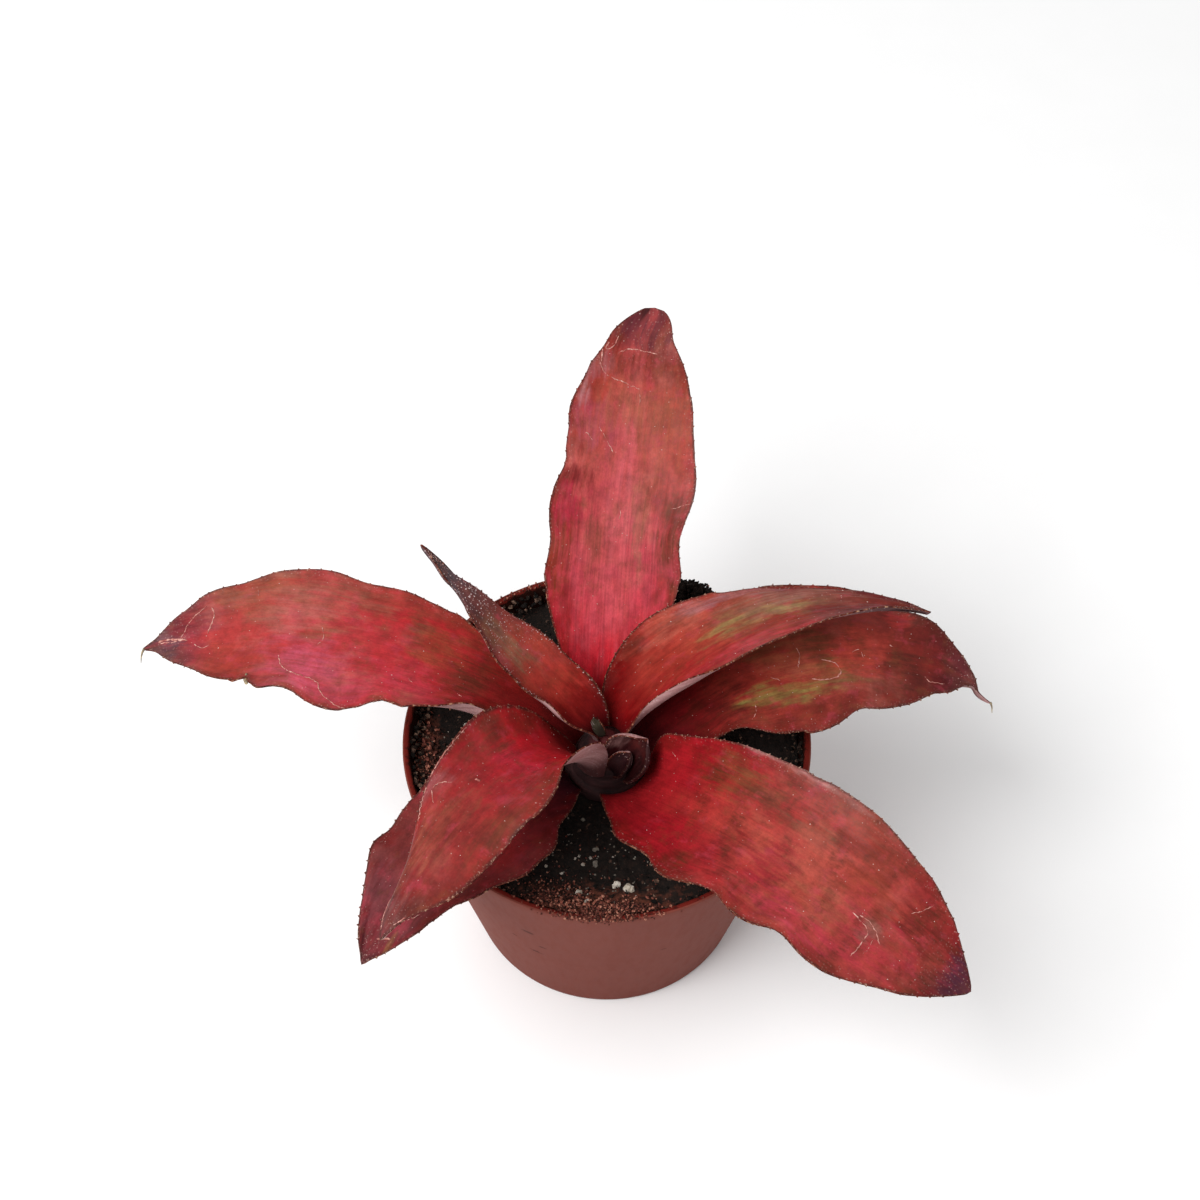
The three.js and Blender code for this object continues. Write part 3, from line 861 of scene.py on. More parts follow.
def threads(name, paths, finish):
    """One mesh of several threads. paths are (points, radii) pairs in mm."""
    corners, faces = [], []
    for path in paths:
        more, sides = thread(*path)
        start = len(corners)
        corners.extend(tuple(c * MM) for c in more)
        faces.extend(tuple(start + i for i in side) for side in sides)
    thing = new_piece(name, corners, faces, finish)
    smooth_corners(thing, 60)
    goes_along(thing)


FIBRE_STEPS = 8
FIBRE_RADIUS = 0.11


def fibre(rng, x, y, lengths):
    length = rng.uniform(*lengths)
    heading, turn = rng.uniform(0, 2 * math.pi), rng.uniform(-0.25, 0.25)
    points, radii = [], []
    for k in range(FIBRE_STEPS + 1):
        points.append((x, y, peat_top(x, y) + 0.25 + 0.25 * math.sin(k * 0.8)))
        radii.append(FIBRE_RADIUS * math.sin(math.pi * (k + 0.7) / (FIBRE_STEPS + 1.4)))
        x += math.cos(heading) * length / FIBRE_STEPS
        y += math.sin(heading) * length / FIBRE_STEPS
        heading += turn
    return points, radii


fibre_rng = random.Random(8)
paths = []
for x, y, *_ in heaped(fibre_rng, 26, (1, 1), (-8.0, -35.5), (11.0, 3.0), 0.1):
    paths.append(fibre(fibre_rng, x, y, (2.0, 4.5)))
for x, y, *_ in scattered(fibre_rng, 34, (1, 1), limits=(14, 38)):
    paths.append(fibre(fibre_rng, x, y, (2.0, 5.0)))
threads("coir_fibres", paths, coir_paint)

# %% [markdown]
# ## The stem
# A short thick stem stands in the peat and carries all the leaves. Little of it shows, only the
# dark ringed skin under the heart, where older leaves have left their scars. It is drawn up from
# a disc like the pot, with a groove above each scar.

# %% Stem
STEM_SIDES = 64
STEM_BOTTOM = 49.0
STEM_TOP = 74.0
STEM_SHOULDER = 61.5
STEM_SLOPE = 0.6
STEM_NECK = 70.0
STEM_DOME = 0.9
SCAR_PITCH = 2.1


def stem_radius(height):
    return STEM_RADIUS - STEM_SLOPE * max(0.0, height - STEM_SHOULDER)


def stem_skin(height):
    drawn_in = 0.7 * float(ease((height - STEM_NECK) / 1.5))
    scar = 0.22 * max(0.0, math.sin(height * 2 * math.pi / SCAR_PITCH)) ** 3
    return stem_radius(height) - drawn_in - scar


radius, height = STEM_RADIUS - 1.5, STEM_BOTTOM
stem = disc("stem_body", STEM_SIDES, radius, (STEM_X, STEM_Y, STEM_BOTTOM))
edit()
heights = np.arange(52, STEM_TOP - STEM_DOME, 0.35)
for level in (STEM_BOTTOM + 1.5, *heights, STEM_TOP - 0.4, STEM_TOP):
    wanted = stem_skin(level)
    if level > STEM_TOP - STEM_DOME:
        wanted -= 0.5 + 0.9 * (level - STEM_TOP + STEM_DOME)
    draw_up(radius, height, wanted, level, (STEM_X, STEM_Y))
    radius, height = wanted, level
leave_closed()
skin = places(stem.data) / MM
for i, point in enumerate(skin):
    out = Vector((point[0] - STEM_X, point[1] - STEM_Y, 0))
    if out.length > 2:
        skin[i] += np.array(out.normalized()) * 0.25 * noise.noise(Vector(point) * 0.45)
set_places(stem.data, skin * MM)
smooth_corners(stem, 50)

paint = Paint("stem_skin", 0.75, 0.3)
place = paint.place_mm()
rings = paint.cloud(place, (0.12, 0.12, 0.9), 3)
paint.ramp(rings, [(0.3, "1d0d0e"), (0.55, "371a1b"), (0.8, "553232")])
paint.veil(paint.between(paint.cloud(place, 0.5, 5), 0.5, 0.8, 0.0, 0.5), "22130f")
paint.veil(paint.between(paint.split(place)[2], 69.5, 72.5, 0.0, 0.8), "5a1416")
stem.data.materials.append(paint.finished(rings, 0.3, 0.5))
stands_for(stem, "stem")

# %% [markdown]
# ## How a leaf grows
# Every leaf is one strap: it clasps the stem, climbs, arches over and runs out to a point. A
# place on its upper face is given by s, from the left margin (-1) to the right one (1), and t,
# from the foot (0) to the tip (1). The rules below turn s and t into a place in millimetres, and
# the numbers are the same as those of the CAD solids, so the fine leaf lies where the solid is.

# %% Leaf numbers
SHEATH = 0.12
SHEATH_CLIMB = 82.0
FOOT_SHARE = 0.72
# for each margin: waves (how many, where they start, lift, swing) and ripple (how many, where it
# starts, size)
STILL = ((0, 0, 0, 0), (0, 0, 0))
COLUMNS = ["foot", "heading", "sweep", "rise", "fall", "length", "width", "base", "widest",
           "taper", "trough", "tilt", "tip", "left", "right"]
ROWS = {
    "leaf_back": (
        67, 1.3, 9.5, 32.7, 19.9, 94.9, 30.5, 0.31, 0.41, 0.49, (13.2, 14), (-5.8, -2.1), 0.3,
        ((4.2, 0.05, 1.25, 0.5), (6, 0.15, 0.15)), ((1.55, 0.2, 1.2, 1.15), (4.25, 0.8, 0.55))),
    "leaf_left": (
        65.5, -72.5, -12, 41, -30.5, 105.5, 32, 0.32, 0.59, 1, (12.7, 16), (-17.2, 13.5), 2,
        ((2.2, 0.55, 2.85, -0.25), (4.85, 0.5, 1.05)), ((4.15, 0.55, 0.25, 0.45), (7.9, 0.55, 0.2))),
    "leaf_young_left": (
        73.5, -60.5, 2.8, 36.9, 42.6, 56.7, 13.5, 0.61, 0.27, 1.5, (40.7, 51), (17.6, 6.3), 0.5,
        ((1.95, 0.3, 1.15, 0.85), (5.6, 0.35, 0.3)), ((0.6, 0.35, 1.2, 0.85), (3.2, 0.85, 0.25))),
    "leaf_right_upper": (
        71.9, 45.2, 51.9, 35.8, -16.9, 79, 25, 0.42, 0.31, 1.33, (21.5, 15.4), (17.7, 23), 0.5,
        ((1, 0.1, 1.28, 0.87), (3, 0.2, 0.2)), ((1.7, 0.8, 1.3, 0.86), (5.1, 0.8, 0.4))),
    "leaf_right_lower": (
        62.2, 58, 47, 37.4, -35.4, 88.9, 34.1, 0.3, 0.49, 1.82, (6.5, 16.2), (-10.1, -7.5), 3,
        ((2.75, 0.95, 1.12, 0.83), (5.75, 0.8, 0.4)), ((2.75, 0.05, 0.94, 1.72), (5.8, 0.25, 0.65))),
    "leaf_front_right": (
        62.3, 142, -21, 48.8, -26.8, 97.5, 33.7, 0.62, 0.55, 0.76, (19, 8.3), (-23.5, 2.7), 0.3,
        ((0.8, 0.8, 0.83, 0.73), (3.75, 0.15, 0.15)), ((1.8, 0.8, 0.56, 1.45), (5.55, 0.25, 1.15))),
    "leaf_front_left_upper": (
        66.9, -134.6, -10.7, 75.8, -47.2, 80.8, 20.9, 0.59, 0.47, 0.87, (29.9, 12.2), (-10.8, -17), 0.5,
        ((0.88, 0.66, -2.35, 4.13), (3.15, 0.7, 1.55)), ((0.83, 0.98, 3.93, 2.92), (4.3, 0.6, 0.15))),
    "leaf_front_left_lower": (
        62, -126, -24.5, 30, -15, 68.3, 28, 0.26, 0.44, 0.91, (13, 16), (3, 1), 0.5,
        ((1.45, 0.65, 0.65, 2.1), (5.85, 0.4, 0.5)), ((3.7, 0.6, 1.2, 0.55), (7.1, 0.25, 0.3))),
    "leaf_heart_inner": (
        69.9, 69.2, 5.6, 66.2, 49.4, 7.1, 5.1, 0.61, 0.4, 0.9, (62, 50), (-22.8, -17.3), 0.4, STILL,
        STILL),
    "leaf_heart_hood": (
        69.9, 59.4, 7.8, 64.6, 54.8, 9.2, 14, 0.7, 0.55, 0.76, (80.7, 68.4), (-4.8, -22.7), 0.4, STILL,
        STILL),
    "leaf_heart_spike": (
        75.5, -116.7, -6, 77.9, 84.7, 6.5, 3.1, 0.91, 0.2, 1.2, (55.8, 60), (2, 0.5), 0.5, STILL, STILL),
}
LEAVES = {name: dict(zip(COLUMNS, row)) for name, row in ROWS.items()}
# two small leaves stand apart: seat is the direction from the stem, and clear how far out in mm
LEAVES["leaf_heart_inner"] |= {"seat": 169.9, "clear": 3.2}
LEAVES["leaf_heart_hood"] |= {"seat": 149.7, "clear": 3.1}

# %% [markdown]
# The midline is walked in short steps from the stem, turning and falling as it goes. Across it
# the strap is bent to a shallow trough, and towards the margins slow waves and a finer ripple
# lift and widen it.


# %% The midline
def foot_radius(leaf):
    return max(stem_radius(leaf["foot"]), 1.0) + CLEAR


def heading_at(leaf, t):
    return np.radians(leaf["heading"] + leaf["sweep"] * t)


def direction(leaf, t):
    sheath = np.clip(1 - t / SHEATH, 0, 1) ** 2
    climb = np.radians(mix(leaf["rise"], leaf["fall"], t) + (SHEATH_CLIMB - leaf["rise"]) * sheath)
    h = heading_at(leaf, t)
    return np.stack([np.cos(climb) * np.sin(h), np.cos(climb) * np.cos(h), np.sin(climb)], -1)


def along_path(at, run, path):
    """The places at given lengths of a path, whose corners lie at the lengths in run."""
    return np.stack([np.interp(at, run, path[:, k]) for k in range(path.shape[1])], -1)


MIDLINE_STEPS = 160


def midline(leaf, t):
    start = math.radians(leaf.get("seat", leaf["heading"]))
    reach = foot_radius(leaf) + leaf.get("clear", 0)
    first = [STEM_X + reach * math.sin(start), STEM_Y + reach * math.cos(start), leaf["foot"]]
    shares = np.arange(MIDLINE_STEPS + 1) / MIDLINE_STEPS
    middles = (np.arange(MIDLINE_STEPS) + 0.5) / MIDLINE_STEPS
    walk = direction(leaf, middles) * leaf["length"] / MIDLINE_STEPS
    return along_path(t, shares, np.vstack([first, first + np.cumsum(walk, 0)]))


# %% Width, trough and thickness
def width_at(leaf, t):
    widening = mix(leaf["base"], 1, np.sin(np.pi / 2 * np.clip(t / leaf["widest"], 0, 1)))
    past = np.clip((t - leaf["widest"]) / (1 - leaf["widest"]), 0, 1)
    share = np.where(t < leaf["widest"], widening, (1 - past**2.2) ** leaf["taper"])
    return leaf["width"] * share * mix(FOOT_SHARE, 1, ease(t / SHEATH))


def trough_at(leaf, t):
    middle, tip = np.radians(leaf["trough"])
    wrap = leaf["width"] * leaf["base"] * FOOT_SHARE / 2 / foot_radius(leaf)
    clasp = middle if "seat" in leaf else min(wrap, math.radians(80))
    near = mix(clasp, middle, ease(t / 0.4))
    return np.where(t < 0.4, near, mix(middle, tip, ease((t - 0.4) / 0.6)))


THICKEST = 1.6
THIN_MARGIN = 0.34


def thickness_at(s, t):
    thick = mix(1.2, THICKEST, ease(t / 0.3))
    rounded = mix(THIN_MARGIN, thick, 1 - np.abs(s) ** 2.6)
    return rounded * mix(1, 0.62, ease((t - 0.7) / 0.3))


# %% The upper face
def frame_at(leaf, t):
    """Directions at t: along the strap, across it to the right, and out of its face."""
    along = direction(leaf, t)
    h = heading_at(leaf, t)
    side = np.stack([np.cos(h), -np.sin(h), 0 * h], -1)
    up = np.cross(side, along)
    tilt = np.radians(mix(*leaf["tilt"], t)) * ease(t / SHEATH)
    across = side * np.cos(tilt)[..., None] + up * np.sin(tilt)[..., None]
    return along, across, np.cross(across, along)


def outward_at(leaf, t, side):
    """The direction in which the face runs off at a margin: the left one (-1) or the right (1)."""
    across, out = frame_at(leaf, t)[1:]
    bend = trough_at(leaf, t) * side
    return (across * np.cos(bend)[..., None] + out * np.sin(bend)[..., None]) * side


def upper_face(leaf, s, t):
    s, t = np.broadcast_arrays(np.asarray(s, float), np.asarray(t, float))
    across, out = frame_at(leaf, t)[1:]
    half, bend = width_at(leaf, t) / 2, trough_at(leaf, t)
    fade = ease(t / 0.3) * ease((1 - t) / 0.2)
    sideways = half / bend * np.sin(bend * s)
    upwards = half / bend * (1 - np.cos(bend * s))
    for (waves, ripple), here in ((leaf["left"], s < 0), (leaf["right"], s >= 0)):
        count, phase, lift, swing = waves
        number, start, size = ripple
        wave = fade * cycle(count * t + phase) * here
        fine = fade * size * cycle(number * t + start) * here
        sideways = sideways + (swing * wave + fine) * s * np.abs(s)
        upwards = upwards + (lift * wave + fine) * np.abs(s) ** 3
    return midline(leaf, t) + across * sideways[..., None] + out * upwards[..., None]


# %% [markdown]
# Along each margin stands a row of fine forward-pointing spines, one every one to three
# millimetres. Rows of the mesh are placed so that three of them meet each spine: where it
# starts, its point and where it ends. Between spines the rows are half a millimetre apart.

# %% Rows and spines
ROW_PITCH = 0.5
SPINE_HALF = 0.22
SPINES_FROM = 0.13
SPINES_TO = 0.972
CROWDED = 0.12


def spine_places(leaf, rng, pitch):
    if not pitch:
        return []
    found, at = [], SPINES_FROM * leaf["length"] + rng.uniform(0, pitch)
    while at < SPINES_TO * leaf["length"]:
        found.append(at)
        at += pitch * rng.uniform(0.72, 1.3)
    return found


def rows_along(leaf, points):
    """Sorted row places in mm, so that every spine's point has a row of its own."""
    fixed = {0.0, leaf["length"]}
    for at in points:
        fixed |= {at - SPINE_HALF, at, at + SPINE_HALF}
    first, *others = sorted(fixed)
    kept = [first]
    for at in others:
        crowded = at - kept[-1] < CROWDED
        if crowded and at not in points:
            continue
        if crowded and kept[-1] not in points:
            kept.pop()
        last = kept[-1]
        more = int((at - last) // ROW_PITCH)
        kept += [mix(last, at, k / (more + 1)) for k in range(1, more + 1)]
        kept.append(at)
    return np.array(kept)


# %% [markdown]
# No margin is quite regular. Here it is taken in or let out by up to a millimetre and a half, as
# the blade grew, with one value every 2.2 mm along it. Two leaves also have their points drawn
# aside.

# %% Uneven margins
TRIM_PITCH = 2.2
# leaf, side, where the row of values starts along the blade, and how far each goes outwards, in
# tenths of a millimetre
TRIMS = [
    ("leaf_back", -1, 0.321, [
        0, 4, 4, 3, 2, 1, 2, 0, -2, -5, -5, -6, -8, -7, -2, -2, -3, 1, 3, 2, 0, -1, 1, 5, 2, -2, -5, -2,
        0]),
    ("leaf_back", 1, 0.342, [
        0, 5, 3, 1, 0, -1, 1, 2, 3, 3, 2, 2, 2, 2, 4, 5, 4, 3, 2, 1, -1, 2, 7, 9, 9, 8, 6, 0]),
    ("leaf_left", -1, 0.379, [
        0, 5, -6, -16, -11, 2, 5, 9, 5, 0, -5, -10, -16, -16, -9, 5, 11, 5, -4, -2, -1, 1, 2, 1, 0, -3,
        -4, -2, 0]),
    ("leaf_left", 1, 0.349, [
        0, -4, -2, -3, -3, -3, -3, -1, 1, 0, -2, -3, -2, -1, 1, 1, 0, -1, -1, -1, 0, -1, -1, -2, -2, 0,
        -2, -3, 3, 8, 0]),
    ("leaf_right_upper", -1, 0.407, [
        0, 2, -3, -3, -2, -3, -8, -13, -13, -12, -13, -13, -11, -8, -2, 0, -2, -4, -5, -6, 0]),
    ("leaf_right_lower", -1, 0.354, [
        0, -3, -2, -5, -11, -11, -10, -10, -10, -9, -6, -1, -1, -2, -3, -5, -3, -1, 3, 6, 8, 9, 10, 8, 8,
        0]),
    ("leaf_right_lower", 1, 0.426, [
        0, 8, 6, 4, 5, 8, 8, 5, 4, 6, 5, 3, 3, 5, 3, -5, -12, -6, 3, 3, -3, -4, 0]),
    ("leaf_front_right", -1, 0.447, [
        0, 1, -3, -2, 0, -1, 0, 1, 3, 4, 4, 3, 2, 1, 0, 1, 3, 4, 4, 5, 8, 7, 9, 0]),
    ("leaf_front_right", 1, 0.522, [
        0, 1, 3, 1, -6, -6, -5, -6, -8, -7, -2, 2, 4, 3, -2, -4, -3, -3, 0, 3, 0]),
    ("leaf_front_left_upper", -1, 0.4, [
        0, 1, 2, 4, 6, 7, -5, -6, -1, 3, 4, 2, 0]),
    ("leaf_front_left_lower", -1, 0.639, [
        0, -1, -1, 5, 7, 2, 2, 2, 1, 0, 0]),
    ("leaf_front_left_lower", 1, 0.487, [
        0, 4, 3, 4, 4, 2, 0, -1, 1, 4, 3, 0, 2, 2, 2, 0]),
]
# how far a point is drawn across, along and out of the blade, in mm
TIPS = {"leaf_back": (1.5, 1.3, 0.0), "leaf_right_lower": (1.5, -1.6, -0.8)}


def trimmed(cad, s, t):
    """How far the uneven margins and the drawn point move a place on the face."""
    leaf = LEAVES[cad]
    along, across, out = frame_at(leaf, t)
    moved = np.zeros(across.shape)
    for trimmed_leaf, side, start, tenths in TRIMS:
        if trimmed_leaf == cad:
            spots = start + np.arange(len(tenths)) * TRIM_PITCH / leaf["length"]
            far = np.interp(t, spots, np.array(tenths) / 10, 0, 0)
            far = far * ease((side * s - 0.5) / 0.5) * ease((0.96 - t) / 0.08)
            moved = moved + outward_at(leaf, t, side) * far[..., None]
    share = ease((t - 0.93) / 0.07)[..., None]
    sideways, forwards, upwards = TIPS.get(cad, (0, 0, 0))
    return moved + (across * sideways + along * forwards + out * upwards) * share


# %% [markdown]
# A grid is added as the flat strap, and each of its corners is laid on the face in code, the
# veins as faint ridges. Solidify then gives the body, thick along the midline and thin at the
# margins, with the underside and the margin in finishes of their own.


# %% From a grid to a leaf
def veins(leaf, s, t, seed):
    """Small heights on the face: parallel veins and gentle dents, in mm."""
    count = leaf["width"] * 0.62
    ridges = 0.035 * np.cos(2 * np.pi * (count * s / 2 + 0.35 * np.sin(9 * s + seed)))
    fade = ease(t / 0.1) * ease((1 - t) / 0.12) * ease((1 - np.abs(s)) / 0.12)

    def dent(a, b):
        return noise.noise(Vector((a * leaf["width"] * 0.11, b * leaf["length"] * 0.09, seed)))

    dents = np.reshape([dent(a, b) for a, b in zip(s.flat, t.flat)], s.shape)
    return fade * (ridges + 0.011 * leaf["width"] * dents)


# side, place along the blade, depth and length in mm
NOTCHES = {"leaf_left": (-1, 0.722, 2.2, 2.4)}
# side, from, to, width of the strip in mm, how far it turns in degrees, how far it swells out
CURLS = {
    "leaf_left": (-1, 0.11, 0.36, 4.4, 150, 4.8),
    "leaf_young_left": (-1, 0.13, 0.35, 1.6, 90, 1.2),
    "leaf_right_upper": (1, 0.05, 0.36, 1.9, 70, 0.0),
}


def curled(leaf, s, t, curl):
    """How far a margin rolls up: the strip outside a hinge is bent round an arc."""
    side, begin, end, wide, turn, swell = curl
    half, soft = width_at(leaf, t) / 2, 0.4 * (end - begin)
    bump = ease((t - begin) / soft) * ease((end - t) / soft)
    past = np.clip(wide - half * (1 - side * s), 0, wide)
    arc = np.maximum(np.radians(turn) * bump, 1e-4)
    hinge = trough_at(leaf, t) * (1 - wide / np.maximum(half, wide))
    across, out = frame_at(leaf, t)[1:]
    level, steep = np.cos(hinge)[:, None], np.sin(hinge)[:, None]
    outward = across * side * level + out * steep
    inward = out * level - across * side * steep
    sideways = wide / arc * np.sin(arc * past / wide) - past + swell * bump * past / wide
    upwards = wide / arc * (1 - np.cos(arc * past / wide))
    return outward * sideways[:, None] + inward * upwards[:, None]


def grid_of(name, columns, rows):
    """A flat grid, with the column and the row in which each of its corners stands."""
    start_clean()
    bpy.ops.mesh.primitive_grid_add(
        x_subdivisions=columns, y_subdivisions=rows, size=2, calc_uvs=True
    )
    body = added(name)
    share = (places(body.data) + 1) / 2
    column = np.rint(share[:, 0] * columns).astype(int)
    return body, column, np.rint(share[:, 1] * rows).astype(int)


def store(mesh, name, *values):
    made = mesh.attributes.new(name, "FLOAT_VECTOR", "POINT")
    made.data.foreach_set("vector", np.stack(values, -1).astype(np.float32).ravel())


def leaf_body(name, cad, columns, pitch, spine_size, seed):
    leaf, rng = LEAVES[cad], random.Random(seed)
    left, right = spine_places(leaf, rng, pitch), spine_places(leaf, rng, pitch)
    row_mm = rows_along(leaf, {*left, *right})
    body, column, row = grid_of(name, columns, len(row_mm) - 1)
    mesh = body.data
    even = 2 * column / columns - 1
    s = np.sign(even) * (1 - (1 - np.abs(even)) ** 1.12)
    t = row_mm[row] / leaf["length"]
    along, across, out = frame_at(leaf, t)
    raised = upper_face(leaf, s, t) + out * veins(leaf, s, t, seed)[:, None]
    tip = leaf["tip"] * ease((t - 0.97) / 0.03) ** 2
    raised += direction(leaf, np.array(1.0)) * tip[:, None] + trimmed(cad, s, t)
    if cad in CURLS:
        raised += curled(leaf, s, t, CURLS[cad])

    spine = np.zeros(len(s))
    for edge, side, spots in ((0, -1, left), (columns, 1, right)):
        for at in spots:
            here = (column == edge) & (np.abs(row_mm[row] - at) < 1e-6)
            size = spine_size * rng.uniform(0.55, 1.15)
            raised[here] += outward_at(leaf, t[here], side) * size + along[here] * size * 0.55
            spine[here] = 1.0
    if cad in NOTCHES:
        side, at, deep, long = NOTCHES[cad]
        near = np.clip(1 - np.abs(row_mm[row] - at * leaf["length"]) / long, 0, 1)
        raised -= across * (side * deep * near * ease((side * s - 0.72) / 0.28))[:, None]
    set_places(mesh, raised * MM)

    half = width_at(leaf, t) / 2
    store(mesh, "on_leaf", s * half, t * leaf["length"], half * (1 - np.abs(s)))
    store(mesh, "shares", s, t, spine)
    corner = np.empty(len(mesh.loops), int)
    mesh.loops.foreach_get("vertex_index", corner)
    laid = np.stack([s[corner] / 2 + 0.5, t[corner]], -1)
    mesh.uv_layers.active.data.foreach_set("uv", laid.astype(np.float32).ravel())

    group = body.vertex_groups.new(name="thickness")
    for i, share in enumerate(np.where(spine > 0, 0.1, thickness_at(s, t) / THICKEST)):
        group.add([i], float(share), "REPLACE")
    pick(body)
    edit()
    bpy.ops.mesh.remove_doubles(threshold=0.004 * MM)
    leave()
    return body


def thickened(body, finishes):
    for finish in finishes:
        body.data.materials.append(finish)
    solid = body.modifiers.new("body", "SOLIDIFY")
    solid.thickness = THICKEST * MM
    solid.offset = -1
    solid.vertex_group = "thickness"
    solid.use_rim = True
    solid.material_offset = 1
    solid.material_offset_rim = 2
    apply_all(body)
    smooth_corners(body, 55)
